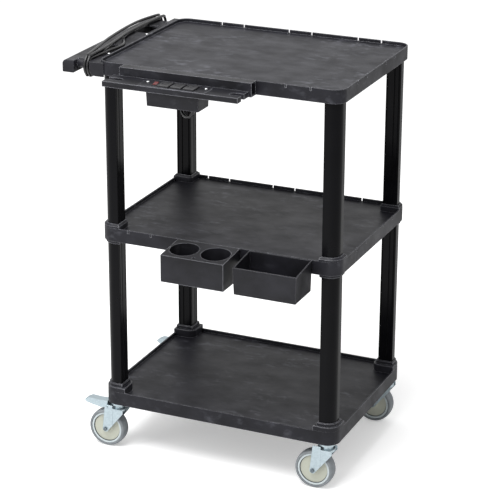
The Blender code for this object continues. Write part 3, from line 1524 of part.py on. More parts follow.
def caster_wheel(corner, parent):
    """Wheel and tyre, turned about the axle."""
    boss = LEG_INNER - GAP
    bore = AXLE_RADIUS + GAP
    rim = TYRE_BORE - GAP
    upper = [
        (bore, boss),
        (HUB_RADIUS - DISC_DISH, boss),
        (HUB_RADIUS, DISC_HALF + DISC_DISH),
        (RING_INNER - DISC_DISH, DISC_HALF),
        (RING_INNER, RING_HALF),
        (rim, RING_HALF - DISC_DISH / 2),
    ]
    profile = upper + [(radius, -height) for radius, height in reversed(upper)]
    place = (-TRAIL, 0, WHEEL_RADIUS)
    turn = (math.pi / 2, 0, 0)
    turned(f"wheel_{corner}", profile, WHEEL_STEPS, WHEEL_PLASTIC, parent, place, True, turn)
    half = TYRE_WIDTH / 2
    centre = (WHEEL_RADIUS - TREAD_CROWN - TYRE_SHOULDER, half - TYRE_SHOULDER)
    shoulder = arc(centre, TYRE_SHOULDER, 90, 0, SMALL_STEPS)
    upper = [(TYRE_BORE, half - DISC_DISH), (TYRE_BORE + DISC_DISH / 2, half), *shoulder[1:]]
    profile = upper + [(WHEEL_RADIUS, 0)] + [(radius, -height) for radius, height in reversed(upper)]
    turned(f"tyre_{corner}", profile, WHEEL_STEPS, TYRE_RUBBER, parent, place, True, turn)


def brake_pedal(corner, parent):
    """Pressed brake pedal on a pin through the fork's two straps."""
    pivot = Vector((PEDAL_PIVOT[0], 0, PEDAL_PIVOT[1]))
    outline = [(x - pivot.x, FORK_TOP + z - pivot.z) for x, z in PEDAL_OUTLINE]
    part = make_part(
        f"brake_pedal_{corner}",
        plate([outline], -PEDAL_WIDTH / 2, PEDAL_WIDTH / 2, upright=True),
        ZINC,
        parent,
        pivot,
    )
    pocket = [(x, z - PEDAL_SHEET) for x, z in outline[1:4]]
    pocket[0] = (pocket[0][0] - PEDAL_SHEET, pocket[0][1])
    pocket.append((outline[4][0] + PEDAL_SHEET, outline[4][1]))
    pocket += [(outline[4][0] + PEDAL_SHEET, -OVERRUN), (outline[1][0] - PEDAL_SHEET, -OVERRUN)]
    half = PEDAL_WIDTH / 2 - PEDAL_SHEET
    cut(part, "pocket", plate([pocket], -half, half, upright=True), pivot)
    boss = LEG_INNER - GAP
    join(part, "boss", rod(PEDAL_BOSS, -boss, boss, (0, 0), ROUND_STEPS, axis="Y"), pivot)
    through = boss + OVERRUN
    bore = rod(PEDAL_PIN_RADIUS + GAP, -through, through, (0, 0), ROUND_STEPS, axis="Y")
    cut(part, "bore", bore, pivot)
    end = LEG_INNER + LEG_THICKNESS + GAP
    head = end + PEDAL_PIN_HEAD_HEIGHT
    profile = [
        (0, head),
        (PEDAL_PIN_HEAD, head),
        (PEDAL_PIN_HEAD, end),
        (PEDAL_PIN_RADIUS, end),
        (PEDAL_PIN_RADIUS, -end),
        (PEDAL_PIN_HEAD, -end),
        (PEDAL_PIN_HEAD, -head),
        (0, -head),
    ]
    across = (math.pi / 2, 0, 0)
    turned(f"pedal_pin_{corner}", profile, ROUND_STEPS, ZINC, parent, pivot, turn=across)


def build_casters():
    """Four swivel casters trailing the same way, the two left ones with a brake."""
    for corner, signs in CORNERS.items():
        place = (signs[0] * CASTER_PLACE[0], signs[1] * CASTER_PLACE[1], 0)
        swivel = make_empty(f"swivel_{corner}", CART, place)
        braked = signs[0] < 0
        caster_mount(corner, swivel)
        caster_fork(corner, swivel, braked)
        caster_axle(corner, swivel)
        caster_wheel(corner, swivel)
        if braked:
            brake_pedal(corner, swivel)


def shade_round_pieces():
    """Smooth shading that keeps the real edges sharp."""
    for part in PARTS.objects:
        if part.type == "MESH" and part.data.polygons:
            part.data.shade_smooth()
            part.data.set_sharp_from_angle(angle=math.radians(35))


clear_scene()
PARTS = make_collection("audio_visual_cart")
CUTTERS = make_collection("cutters")
CART = make_empty("cart", None, CART_SHIFT)
PLASTIC = make_material("black_structural_foam", (0.045, 0.046, 0.050), 0.55)
POST_PLASTIC = make_material("black_extruded_plastic", (0.014, 0.014, 0.017), 0.28)
OUTLET_PLASTIC = make_material("black_outlet_plastic", (0.030, 0.030, 0.033), 0.45)
ROCKER_PLASTIC = make_material("red_rocker_plastic", (0.55, 0.02, 0.02), 0.30)
CORD_RUBBER = make_material("black_cord_jacket", (0.020, 0.020, 0.022), 0.40)
ZINC = make_material("zinc_plated_steel", (0.68, 0.73, 0.75), 0.32, 1.0)
DARK_STEEL = make_material("blackened_steel", (0.12, 0.14, 0.16), 0.40, 1.0)
WHEEL_PLASTIC = make_material("pale_wheel_plastic", (0.60, 0.61, 0.55), 0.45)
TYRE_RUBBER = make_material("grey_tyre_rubber", (0.24, 0.26, 0.28), 0.60)
build_top_tray()
build_middle_tray()
build_bottom_tray()
build_posts()
build_handle()
build_bracket()
build_panel()
build_outlets()
build_switch()
build_relief(build_strip_box())
build_cord()
build_cup_holder()
build_bin()
build_casters()
shade_round_pieces()
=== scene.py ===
"""Audio visual cart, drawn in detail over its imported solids.

Everything is modelled round the middle of the trays, as the solids are, and moved by SHIFT into the
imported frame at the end. Metres, +X away from the handle, -Y the front, +Z up."""
import math

import bmesh
import bpy
from mathutils import Matrix, Vector


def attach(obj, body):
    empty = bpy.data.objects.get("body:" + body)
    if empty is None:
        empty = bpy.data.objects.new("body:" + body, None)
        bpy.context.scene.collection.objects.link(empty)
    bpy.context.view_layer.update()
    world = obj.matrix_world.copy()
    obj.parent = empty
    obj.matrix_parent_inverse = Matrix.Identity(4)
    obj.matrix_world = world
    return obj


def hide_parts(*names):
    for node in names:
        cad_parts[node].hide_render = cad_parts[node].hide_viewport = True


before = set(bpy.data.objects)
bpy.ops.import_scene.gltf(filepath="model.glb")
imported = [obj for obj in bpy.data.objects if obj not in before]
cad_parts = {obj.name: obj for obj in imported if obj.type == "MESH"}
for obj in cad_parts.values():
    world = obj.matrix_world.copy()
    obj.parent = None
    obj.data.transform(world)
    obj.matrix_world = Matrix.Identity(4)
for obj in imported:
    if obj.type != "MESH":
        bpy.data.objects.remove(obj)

bl_info = {
    "name": "Audio visual cart",
    "version": (1, 0, 0),
    "blender": (4, 5, 0),
    "location": "3D View > Sidebar > Cart",
    "description": "Builds the visible pieces, finishes, light and camera of an audio visual cart",
    "category": "Object",
}

SHIFT = Vector((0.0486, 0.0517, 0.0))
GAP = 0.0003
OVERRUN = 0.020
SEAM = 0.0002
CRISP_EDGE = 0.0004
CRISP_CHAMFER = 0.0003

# Segments round pieces and cuts of a bore's, a race's and a well's size
BORE_STEPS = 32
RACE_STEPS = 48
WELL_STEPS = 96

# Heights
CASTER_HEIGHT = 0.1328
BOTTOM_RIM = 0.1708
MIDDLE_UNDER = 0.5988
MIDDLE_RIM = 0.6358
TOP_UNDER = 1.0432
TOP_RIM = 1.0792

# Trays
HALF_LENGTH = 0.3328
HALF_WIDTH = 0.2466
TRAY_CORNER = 0.034
RIM_THICKNESS = 0.0045
RIM_DEPTH = 0.009
DECK_THICKNESS = 0.004
SKIRT_THICKNESS = 0.004
RIB_THICKNESS = 0.0025
RIB_DEPTH = 0.008
RIB_CELLS = (8, 6)
NOTCH_WIDTH = 0.0040
NOTCH_DEPTH = 0.0085
NOTCH_LAP = 0.0020
NOTCH_PAIR = 0.0650
LONG_SIDE_PITCH = 0.1965
LONG_SIDE_SHIFT = 0.0215
SHORT_SIDE_PITCH = 0.1980
SHORT_SIDE_SHIFT = -0.0100

# Posts, and the blocks, bosses and collars that hold them
POST_WIDTH = 0.041
POST_INSET = 0.0083
POST_WALL = 0.004
FLUTE_WIDTH = 0.0030
FLUTE_DEPTH = 0.0020
FLUTE_SHARES = (0.12, 0.42, 0.90)
BLOCK_MARGIN = 0.0060
BLOCK_RISE = 0.0005
BOTTOM_BLOCK_MARGIN = 0.0130
BOTTOM_BLOCK_RADIUS = 0.020
BOTTOM_BLOCK_HEIGHT = 0.0127
COLLAR_MARGIN = 0.0040
COLLAR_HEIGHT = 0.0095
MIDDLE_BOSS_HEIGHT = 0.0102
MIDDLE_BOSS_EDGE = 0.0054
UNDER_COLLAR_HEIGHT = 0.0085
UPPER_SOCKET_DEPTH = 0.026
LOWER_SOCKET_DEPTH = 0.022
BOTTOM_SOCKET_DEPTH = 0.030
TOP_SOCKET_CAP = 0.006

# Push handle
HANDLE_TOP = 1.0725
BAR_OUTER = -0.4300
BAR_INNER = -0.3970
BAR_HEIGHT = 0.033
BAR_ROUND = 0.012
BAR_FOOT_ROUND = 0.003
WEB_THICKNESS = 0.0045
WEB_LAP = 0.0020
SLAB_DROP = 0.001
ARM_HEIGHT = 0.025
ARM_INSET = 0.018
ARM_WIDTH = 0.030
NOSE_INSET = 0.0005
FLANGE_WIDTH = 0.0202
BLOCK_REACH = 0.041
BLOCK_WIDTH = 0.0566
BLOCK_TOP = 1.0745
BLOCK_HEIGHT = 0.037
BLOCK_ROUND = 0.017
HAND_HOLES = ((-0.128, -0.060), (0.080, 0.158))
HAND_HOLE_EDGE = 0.007

# How far the hand holes stay from the bar and reach over the flange
HAND_HOLE_MARGINS = (0.005, 0.0015)

HANDLE_SCREWS = ((-0.3468, -0.150), (-0.3468, 0.067))

# How far a hand hole's outline grows, at depths below the handle's top
HAND_HOLE_FLARE = ((0, 0.0016), (0.0004, 0.0008), (0.0014, SEAM))

# Screws of the handle and the panel
SCREW_HOLE_RADIUS = 0.0023
SCREW_HOLE_DEPTH = 0.0103
SCREW_HEAD_RADIUS = 0.0040
SCREW_BRIM = 0.0004
SCREW_DOME = 0.0016
SCREW_SHANK = 0.0020
SCREW_LENGTH = 0.0097
SCREW_CHAMFER = 0.0002
SCREW_TIP = 0.0004
CROSS_SIZES = ((0.0042, 0.0010), (0.0010, 0.0042))
CROSS_FLOOR = 0.0008

# Power strip
RAIL_SPAN = (-0.253, 0.107)
RAIL_DEPTH = 0.0281
RAIL_WALL = 0.0028
PLATE_SPAN = (-0.2690, 0.0983)
PLATE_TOP = 1.0572
PLATE_UNDER = 1.0432
PLATE_FRONT = 0.0914
PRONG_CUT = (0.0514, 0.0694)
PRONG_DEPTHS = (0.0430, 0.0333)
PANEL_SPAN = (-0.173, 0.009)
PANEL_LAP = (0.0414, 0.0894)
PANEL_SEAT = 1.0555
PANEL_TOP = 1.0580
PANEL_SCREWS = ((-0.161, -0.298), (-0.003, -0.298))
PANEL_LEDGE = 0.003
OUTLET_PLACES = (-0.1060, -0.0713, -0.0366)
OUTLET_LENGTH = 0.0300
OUTLET_WIDTH = 0.0370
OUTLET_LINE = -0.3120
OUTLET_RISE = 0.0045
OUTLET_BODY = 0.0085
OUTLET_CORNER = 0.0025
OUTLET_EDGE = 0.0012
SLOT_SPACING = 0.0127
SLOT_LENGTHS = (0.0085, 0.0070)
SLOT_WIDTH = 0.0024
SLOT_DEPTH = 0.0060
SLOT_OFFSET = 0.0030
EARTH_DIAMETER = 0.0052
EARTH_OFFSET = 0.0085
SWITCH_PLACE = -0.1340
SWITCH_LENGTH = 0.0150
SWITCH_WIDTH = 0.0240
SWITCH_FRAME = 0.0018
SWITCH_RISE = 0.0016
SWITCH_BODY = 0.0045
ROCKER_TILT = math.radians(9.0)
ROCKER_RISE = 0.0030
ROCKER_DEPTH = 0.0050
ROCKER_CREASE = 0.0012
ROCKER_HOLLOW = 0.7
ROCKER_GAP = 0.0009
BOX_LOW = (-0.152, -0.330, 1.0052)
BOX_HIGH = (-0.009, -0.2686, 1.0429)
BOX_TAPER = 0.0015
BOX_WALL = 0.0025
BOX_EDGE = 0.0014

# Cord
CORD_DIAMETER = 0.0075
RELIEF_PLACE = (-0.0470, -0.2800)
RELIEF_HOLE = 0.0060
RELIEF_RADII = (0.0050, 0.0075, 0.0057, 0.0056)
RELIEF_UPPER = 0.0090
RELIEF_FLANGE = 0.0025
RELIEF_BRIM = 0.0012
RELIEF_SHOULDER = 0.0028
RELIEF_LENGTH = 0.0110
RELIEF_RINGS = 3
RELIEF_FIRST_RING = 0.0042
RELIEF_RING_PITCH = 0.0022
RELIEF_GROOVE = 0.0006
STRIP_ROUTE = (
    (-0.0470, -0.0334, -0.0853),
    (-0.0470, -0.0334, -0.0897),
    (-0.0510, -0.0332, -0.0992),
    (-0.0585, -0.0327, -0.1042),
    (-0.0680, -0.0316, -0.1052),
    (-0.0765, -0.0292, -0.1012),
    (-0.0820, -0.0252, -0.0932),
    (-0.0850, -0.0189, -0.0822),
    (-0.0885, -0.0094, -0.0697),
    (-0.0935, 0.0031, -0.0577),
    (-0.1010, 0.0176, -0.0467),
    (-0.1120, 0.0331, -0.0377),
    (-0.1265, 0.0481, -0.0312),
    (-0.1430, 0.0578, -0.0279),
    (-0.1600, 0.0606, -0.0272),
    (-0.1800, 0.0606, -0.0272),
    (-0.2050, 0.0606, -0.0272),
    (-0.2250, 0.0606, -0.0272),
)
HANDLE_ROUTE = (
    (0.0878, 0.0606, -0.0272),
    (0.0728, 0.0609, -0.0282),
    (0.0568, 0.0626, -0.0312),
    (0.0398, 0.0671, -0.0355),
    (0.0238, 0.0741, -0.0392),
    (0.0088, 0.0796, -0.0411),
    (-0.0047, 0.0816, -0.0409),
    (-0.0157, 0.0784, -0.0399),
    (-0.0237, 0.0704, -0.0394),
    (-0.0267, 0.0596, -0.0394),
    (-0.0267, 0.0526, -0.0394),
    (-0.0267, 0.0478, -0.0394),
)
LOOP_RISE = 0.0040
WINDING_GAP = 0.0006
LOOP_PLAY = 0.0018
LAYER_STEP = 0.0086
FRONT_COLUMNS = (-0.0267, -0.0352, -0.0352, -0.0267)
REAR_COLUMNS = (-0.0507, -0.0592, -0.0592, -0.0422)
LOOP_LAYERS = (0, 0, 1, 1)
TURN_POINTS = 7
RUN_POINTS = 5
TOP_DRIFT = (
    (-0.0202, -0.0147, -0.0472, -0.0552, -0.0547),
    (-0.0377, -0.0472, -0.0592, -0.0657, -0.0632),
    (-0.0472, -0.0602, -0.0682, -0.0732, -0.0722),
    (-0.0282, -0.0352, -0.0442, -0.0462, -0.0442),
)
BOTTOM_DRIFT = (
    (-0.0502, -0.0482, -0.0452, -0.0412, -0.0372),
    (-0.0587, -0.0567, -0.0537, -0.0497, -0.0402),
    (-0.0572, -0.0452, -0.0322, -0.0272, -0.0267),
)
BOTTOM_LAYERS = ((0, 0, 0, 0, 0), (0, 0, 0, 0.5, 1), (1, 1, 1, 1, 1))
TAIL_ROUTE = (
    (-0.0422, -0.0416, -0.0390),
    (-0.0420, -0.0616, -0.0371),
    (-0.0410, -0.0866, -0.0327),
    (-0.0402, -0.1116, -0.0285),
    (-0.0402, -0.1366, -0.0261),
    (-0.0402, -0.1616, -0.0252),
    (-0.0402, -0.1803, -0.0252),
)
PLUG_BODY = (0.038, 0.026, 0.020)
PLUG_EDGE = 0.003
PLUG_WAIST = 0.0200
PLUG_WAIST_REACH = 0.018
PLUG_RELIEF = 0.020
SLEEVE_LAP = 0.003
SLEEVE_ROOT = 0.0062
SLEEVE_TIP = 0.00475
SLEEVE_TAPER = 0.0015
SLEEVE_RINGS = 5
SLEEVE_PITCH = 0.0036
SLEEVE_GROOVE = 0.0009

# Heights within one pitch of the sleeve: the ring's two edges, then the groove's
SLEEVE_RING = (0.0003, 0.0022, 0.0025, 0.0034)

BLADE_LENGTH = 0.0160
BLADE_WIDTH = 0.0063
BLADE_THICKNESS = 0.0015
PIN_DIAMETER = 0.0048
PIN_LENGTH = 0.0190
METAL_SINK = 0.002

# Holders
CUP_SPAN = (-0.1077, 0.0655)
BIN_SPAN = (0.0905, 0.2620)
HOLDER_FACE = -0.3500
HOLDER_BACK = -0.2472
HOLDER_TOP = 0.6355
CUP_DROP = 0.0080
CUP_FOOT = 0.5555
BIN_DROP = 0.0110
BIN_FOOT = 0.5525
BIN_TAPER = 0.0025
HOLDER_WALL = 0.0030
CUP_DIAMETER = 0.0770
CUP_WALL = 0.0025
CUP_PLACES = ((-0.0646, -0.2990), (0.0224, -0.2990))
DRAIN_PLACE = (-0.0211, -0.3380)
DRAIN_DIAMETER = 0.0080
HOOK_WIDTH = 0.0030
HOOK_RISE = 0.0065
HOOK_HEAD = 0.0090
HOOK_HEAD_THICKNESS = 0.0030

# Casters
WHEEL_RADIUS = 0.0525
TYRE_HALF = 0.0160
TYRE_BORE = 0.0447
TYRE_SHOULDER = 0.0045
SHOULDER_INSET = 0.0055
CROWN_FALL = 0.0003
RING_INNER = 0.0388
RING_HALF = 0.0145
DISC_HALF = 0.0120
HUB_RADIUS = 0.0120

# How far within the wheel's ring its dark groove starts and ends
GROOVE_SPAN = (0.0014, 0.0001)

CASTER_PLACE = (0.3012, 0.2198)
TRAIL = 0.0319
AXLE_PLACE = Vector((-TRAIL, 0, WHEEL_RADIUS))
LEG_HALF = 0.0085
LEG_THICKNESS = 0.0025
LEG_INNER = 0.0195
LEG_REACH = 0.0525
LEG_SHOULDER = 0.0104
WEB_SINK = 0.0008
STRAP_BACK = 0.0006
STRAP_WIDTH = 0.0225
STRAP_RISE = 0.0087
FORK_TOP = 0.1158
FORK_PLATE = 0.0078
FORK_PLATE_RADIUS = 0.0215
RACE_RADIUS = 0.0150
RACE_SINK = 0.001
CAP_RADIUS = 0.0205
CAP_GAP = 0.0085
CAP_ROUND = 0.0035
CAP_CHAMFER = 0.0006
SEAT_RADIUS = 0.0150
SEAT_HEIGHT = 0.0015
STEM_RADIUS = 0.0055
STEM_LENGTH = 0.0240
STEM_BORE_DEPTH = 0.0245
KINGPIN_RADIUS = 0.0050
KINGPIN_HEAD = 0.0085
KINGPIN_HEAD_HEIGHT = 0.0028
KINGPIN_CHAMFER = (0.0015, 0.0010)
AXLE_RADIUS = 0.0040
BOLT_HEAD = 0.0060
BOLT_HEAD_HEIGHT = 0.0032
BOLT_CHAMFER = 0.0007
BOLT_END = 0.0012
PEDAL_PIVOT = (-0.0278, 0.1173)
PEDAL_BOSS = 0.0055
PEDAL_PIN_RADIUS = 0.0022
PEDAL_WIDTH = 0.0240
PEDAL_SHEET = 0.0022
PEDAL_RIB = 0.0016
PEDAL_RIB_MARGIN = 0.004
PEDAL_RIBS = 4
PEDAL_OUTLINE = (
    (-0.0282, 0.1295),
    (-0.0328, 0.1313),
    (-0.0573, 0.1301),
    (-0.0848, 0.1317),
    (-0.0990, 0.1235),
    (-0.0930, 0.1175),
    (-0.0728, 0.1130),
    (-0.0540, 0.1105),
    (-0.0490, 0.1085),
    (-0.0440, 0.1107),
    (-0.0340, 0.1118),
)

POST_OUTER = (HALF_LENGTH - POST_INSET, HALF_WIDTH - POST_INSET)
POST_INNER = (POST_OUTER[0] - POST_WIDTH, POST_OUTER[1] - POST_WIDTH)
POST_CORNER = TRAY_CORNER - POST_INSET
LOOP_INNER = (ARM_HEIGHT + CORD_DIAMETER) / 2 + GAP + LOOP_RISE / 2
LOOP_REACH = HALF_WIDTH - ARM_INSET + CORD_DIAMETER / 2 + LOOP_PLAY - LOOP_INNER
CORNERS = {
    "front_left": (-1, -1),
    "front_right": (1, -1),
    "back_left": (-1, 1),
    "back_right": (1, 1),
}

# Camera, solved from the rims, posts and wheels in the photograph
CAMERA_PLACE = Vector((1.98260, -4.54733, 2.40767))
CAMERA_YAW = 0.414
CAMERA_PITCH = -0.3606
CAMERA_ROLL = 0.0044
SENSOR_WIDTH = 36
CAMERA_LENS = 3.9941 * SENSOR_WIDTH
CAMERA_REACH = 60

# Floor, and the softboxes: size, place and the point that each looks at
FLOOR_HALF = 30
FLOOR_DEPTH = 0.02
FLOOR_GLOW = 0.34
LAMPS = {
    "key": ((2.2, 2.2), (-0.3, -1.3, 3.4), (0.1, 0.0, 0.4)),
    "side": ((1.6, 2.4), (-2.6, -2.8, 1.9), (0.0, 0.0, 0.6)),
}


class CartShape(bpy.types.PropertyGroup):
    """How finely the pieces are drawn."""
    corner_steps: bpy.props.IntProperty(
        name="Corner steps", description="Segments in a round corner", default=12,
    )
    round_steps: bpy.props.IntProperty(
        name="Round steps", description="Segments round a turned piece", default=64,
    )
    small_steps: bpy.props.IntProperty(
        name="Small steps", description="Segments round a pin or screw", default=24,
    )
    edge: bpy.props.FloatProperty(
        name="Moulded edge", description="Rounding of moulded edges", default=0.0011, unit="LENGTH",
    )
    fine_edge: bpy.props.FloatProperty(
        name="Fine edge", description="Rounding of small edges", default=0.0005, unit="LENGTH",
    )


class CartFinish(bpy.types.PropertyGroup):
    """What the surfaces look like."""
    scuffs: bpy.props.FloatProperty(
        name="Scuffs", description="How much the decks are scuffed", default=0.5, subtype="FACTOR",
    )
    grain: bpy.props.FloatProperty(
        name="Grain", description="Depth of the moulded grain", default=0.25, subtype="FACTOR",
    )


class CartStage(bpy.types.PropertyGroup):
    """Light round the cart."""
    key: bpy.props.FloatProperty(
        name="Key", description="Power of the overhead softbox", default=120.0, unit="POWER",
    )
    side: bpy.props.FloatProperty(
        name="Side", description="Power of the front left softbox", default=30.0, unit="POWER",
    )
    ambient: bpy.props.FloatProperty(
        name="Ambient", description="Strength of the light from all round", default=0.72,
        subtype="FACTOR",
    )


def shape_settings():
    """The settings that say how finely pieces are drawn."""
    return bpy.context.scene.cart_shape


# Outlines

def arc(centre, radius, start, end, steps):
    """Points round part of a circle, angles in degrees."""
    points = []
    for step in range(steps + 1):
        angle = math.radians(start + (end - start) * step / steps)
        points.append((centre[0] + radius * math.cos(angle), centre[1] + radius * math.sin(angle)))
    return points


def rounded(low, high, radius, steps):
    """A rectangle with four round corners."""
    points = arc((high[0] - radius, high[1] - radius), radius, 0, 90, steps)
    points += arc((low[0] + radius, high[1] - radius), radius, 90, 180, steps)
    points += arc((low[0] + radius, low[1] + radius), radius, 180, 270, steps)
    points += arc((high[0] - radius, low[1] + radius), radius, 270, 360, steps)
    return points


def mirrored(points, signs):
    """The same outline in another corner, still running anticlockwise."""
    moved = [(x * signs[0], y * signs[1]) for x, y in points]
    if signs[0] * signs[1] < 0:
        moved.reverse()
    return moved


def tray_outline(inset):
    """A tray's plan, drawn in by an inset."""
    high = (HALF_LENGTH - inset, HALF_WIDTH - inset)
    return rounded((-high[0], -high[1]), high, TRAY_CORNER - inset, shape_settings().corner_steps)


def corner_outline(signs, inset, margin, radius):
    """A corner block's plan: the tray's round corner outside, a plain or round one inside."""
    steps = shape_settings().corner_steps
    high = (HALF_LENGTH - inset, HALF_WIDTH - inset)
    low = (POST_INNER[0] - margin, POST_INNER[1] - margin)
    outer = TRAY_CORNER - inset
    points = [(high[0], low[1])]
    points += arc((high[0] - outer, high[1] - outer), outer, 0, 90, steps)
    points.append((low[0], high[1]))
    points += arc((low[0] + radius, low[1] + radius), radius, 180, 270, steps // 2)
    return mirrored(points, signs)


def post_outline(signs, margin):
    """A post's plan without its flutes, grown by a margin."""
    high = (POST_OUTER[0] + margin, POST_OUTER[1] + margin)
    low = (POST_INNER[0] - margin, POST_INNER[1] - margin)
    radius = POST_CORNER + margin
    points = [(high[0], low[1])]
    centre = (high[0] - radius, high[1] - radius)
    points += arc(centre, radius, 0, 90, shape_settings().corner_steps)
    points += [(low[0], high[1]), low]
    return mirrored(points, signs)


def flute(place):
    """Points of one round-bottomed groove: distances along the face and into it."""
    points = []
    for step in range(7):
        angle = math.pi * step / 6
        points.append((place - FLUTE_WIDTH / 2 * math.cos(angle), FLUTE_DEPTH * math.sin(angle)))
    return points


def fluted_outline(signs):
    """A post's plan, grooved down the two faces that look at the other posts."""
    edge = shape_settings().edge
    low = POST_INNER
    high = POST_OUTER
    flutes = [flute(POST_WIDTH * share) for share in sorted(FLUTE_SHARES, reverse=True)]
    points = arc((low[0] + edge, low[1] + edge), edge, 180, 270, 3)
    for group in flutes:
        points += [(high[0] - along, low[1] + into) for along, into in reversed(group)]
    points += arc((high[0] - edge, low[1] + edge), edge, 270, 360, 3)
    centre = (high[0] - POST_CORNER, high[1] - POST_CORNER)
    points += arc(centre, POST_CORNER, 0, 90, shape_settings().corner_steps)
    points += arc((low[0] + edge, high[1] - edge), edge, 90, 180, 3)
    for group in reversed(flutes):
        points += [(low[0] + into, high[1] - along) for along, into in group]
    return mirrored(points, signs)


# Meshes

def mesh_from(build):
    """A mesh filled by a function that works on a bmesh."""
    work = bmesh.new()
    build(work)
    bmesh.ops.recalc_face_normals(work, faces=work.faces)
    mesh = bpy.data.meshes.new("shape")
    work.to_mesh(mesh)
    work.free()
    return mesh


def loft(rings):
    """A closed solid through outlines with equal counts of points, each at its height."""

    def build(work):
        rows = [[work.verts.new((x, y, height)) for x, y in outline] for outline, height in rings]
        count = len(rows[0])
        for lower, upper in zip(rows, rows[1:]):
            for index in range(count):
                after = (index + 1) % count
                work.faces.new((lower[index], lower[after], upper[after], upper[index]))
        work.faces.new(rows[0])
        work.faces.new(rows[-1])

    return mesh_from(build)


def solid(outline, low, high, upright=False):
    """An outline between two heights, or between two places across when upright."""
    mesh = loft([(outline, low), (outline, high)])
    if upright:
        mesh.transform(Matrix.Rotation(math.pi / 2, 4, "X"))
        mesh.transform(Matrix.Translation((0, low + high, 0)))
    return mesh


def block(low, high):
    """A block between two opposite corners."""
    low = Vector(low)
    high = Vector(high)

    def build(work):
        bmesh.ops.create_cube(work, size=1)
        bmesh.ops.scale(work, vec=high - low, verts=work.verts)
        bmesh.ops.translate(work, vec=(high + low) / 2, verts=work.verts)

    return mesh_from(build)


def tapered(low, high, inset, drop):
    """A block whose foot is drawn in and whose top slopes down towards the front."""
    mesh = block(low, high)
    middle = (Vector(low) + Vector(high)) / 2
    for vertex in mesh.vertices:
        if vertex.co.z < middle.z:
            vertex.co.x += inset if vertex.co.x < middle.x else -inset
            vertex.co.y += inset if vertex.co.y < middle.y else 0
        elif vertex.co.y < middle.y:
            vertex.co.z -= drop
    return mesh


def turn_to(mesh, axis, place):
    """Stand a mesh that is round about Z on another axis, and move it to its place."""
    if axis == "Y":
        mesh.transform(Matrix.Rotation(-math.pi / 2, 4, "X"))
    elif axis == "X":
        mesh.transform(Matrix.Rotation(math.pi / 2, 4, "Y"))
    mesh.transform(Matrix.Translation(place))
    return mesh


def rod(radius, low, high, place, steps, axis="Z"):
    """A cylinder along an axis, between two distances from a place."""

    def build(work):
        bmesh.ops.create_cone(
            work, cap_ends=True, segments=steps, radius1=radius, radius2=radius, depth=high - low,
        )
        bmesh.ops.translate(work, vec=(0, 0, (high + low) / 2), verts=work.verts)

    return turn_to(mesh_from(build), axis, place)


def pin(radius, low, high, place, axis="Z"):
    """A thin rod, such as a pin, a stem or a screw's hole."""
    return rod(radius, low, high, place, shape_settings().small_steps, axis)


def lathe(profile, steps, place, axis="Z", ring=False):
    """A turned solid from radii and heights. A ring's profile is closed and stays off its axis."""

    def build(work):
        rows = []
        for step in range(steps):
            angle = 2 * math.pi * step / steps
            rows.append([
                work.verts.new((radius * math.cos(angle), radius * math.sin(angle), height))
                for radius, height in profile
            ])
        count = len(profile)
        for step, row in enumerate(rows):
            after = rows[(step + 1) % steps]
            for index in range(count if ring else count - 1):
                other = (index + 1) % count
                work.faces.new((row[index], row[other], after[other], after[index]))
        if not ring:
            work.faces.new([row[0] for row in rows])
            work.faces.new([row[-1] for row in rows])

    return turn_to(mesh_from(build), axis, place)


def gather(meshes):
    """One mesh that holds several shapes."""
    work = bmesh.new()
    for mesh in meshes:
        work.from_mesh(mesh)
        bpy.data.meshes.remove(mesh)
    gathered = bpy.data.meshes.new("shapes")
    work.to_mesh(gathered)
    work.free()
    return gathered


def helper(mesh):
    """A bare object that only takes part in making another."""
    thing = bpy.data.objects.new("helper", mesh)
    bpy.context.scene.collection.objects.link(thing)
    return thing


def made(thing, extras=()):
    """The evaluated mesh of a helper, which is then removed with what it used."""
    graph = bpy.context.evaluated_depsgraph_get()
    mesh = bpy.data.meshes.new_from_object(thing.evaluated_get(graph))
    for used in (thing, *extras):
        bpy.data.objects.remove(used, do_unlink=True)
    return mesh


def shaped(base, steps, edge=0.0, segments=2, angle=38):
    """A mesh after cuts ("-") and joins ("+") in order, with its edges rounded."""
    thing = helper(base)
    tools = []
    for sign, mesh in steps:
        tool = helper(mesh)
        tools.append(tool)
        boolean = thing.modifiers.new("step", "BOOLEAN")
        boolean.object = tool
        boolean.operation = "UNION" if sign == "+" else "DIFFERENCE"
        boolean.solver = "EXACT"
    if edge:
        bevel = thing.modifiers.new("edges", "BEVEL")
        bevel.width = edge
        bevel.segments = segments
        bevel.limit_method = "ANGLE"
        bevel.angle_limit = math.radians(angle)
        bevel.miter_outer = "MITER_ARC"
    return made(thing, tools)


def softened(mesh, edge, segments=3, angle=50):
    """A plain body with round edges, before it is cut or joined."""
    return shaped(mesh, [], edge, segments, angle)


def screw_hole(seat, high, place):
    """Cutter for a screw's clearance hole."""
    return pin(SCREW_HOLE_RADIUS, seat - SCREW_HOLE_DEPTH, high, (*place, 0))


def piece(name, mesh, material, body, nodes, smooth=32):
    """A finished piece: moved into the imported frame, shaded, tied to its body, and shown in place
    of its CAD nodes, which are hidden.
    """
    mesh.transform(Matrix.Translation(SHIFT))
    mesh.materials.clear()
    mesh.materials.append(material)
    mesh.shade_smooth()
    mesh.set_sharp_from_angle(angle=math.radians(smooth))
    shaded = helper(mesh)
    shaded.modifiers.new("normals", "WEIGHTED_NORMAL").keep_sharp = True
    mesh = made(shaded)
    mesh.name = name
    thing = bpy.data.objects.new(name, mesh)
    bpy.context.scene.collection.objects.link(thing)
    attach(thing, body)
    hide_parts(*nodes)
    return thing


# A row of equal blocks, repeated with geometry nodes

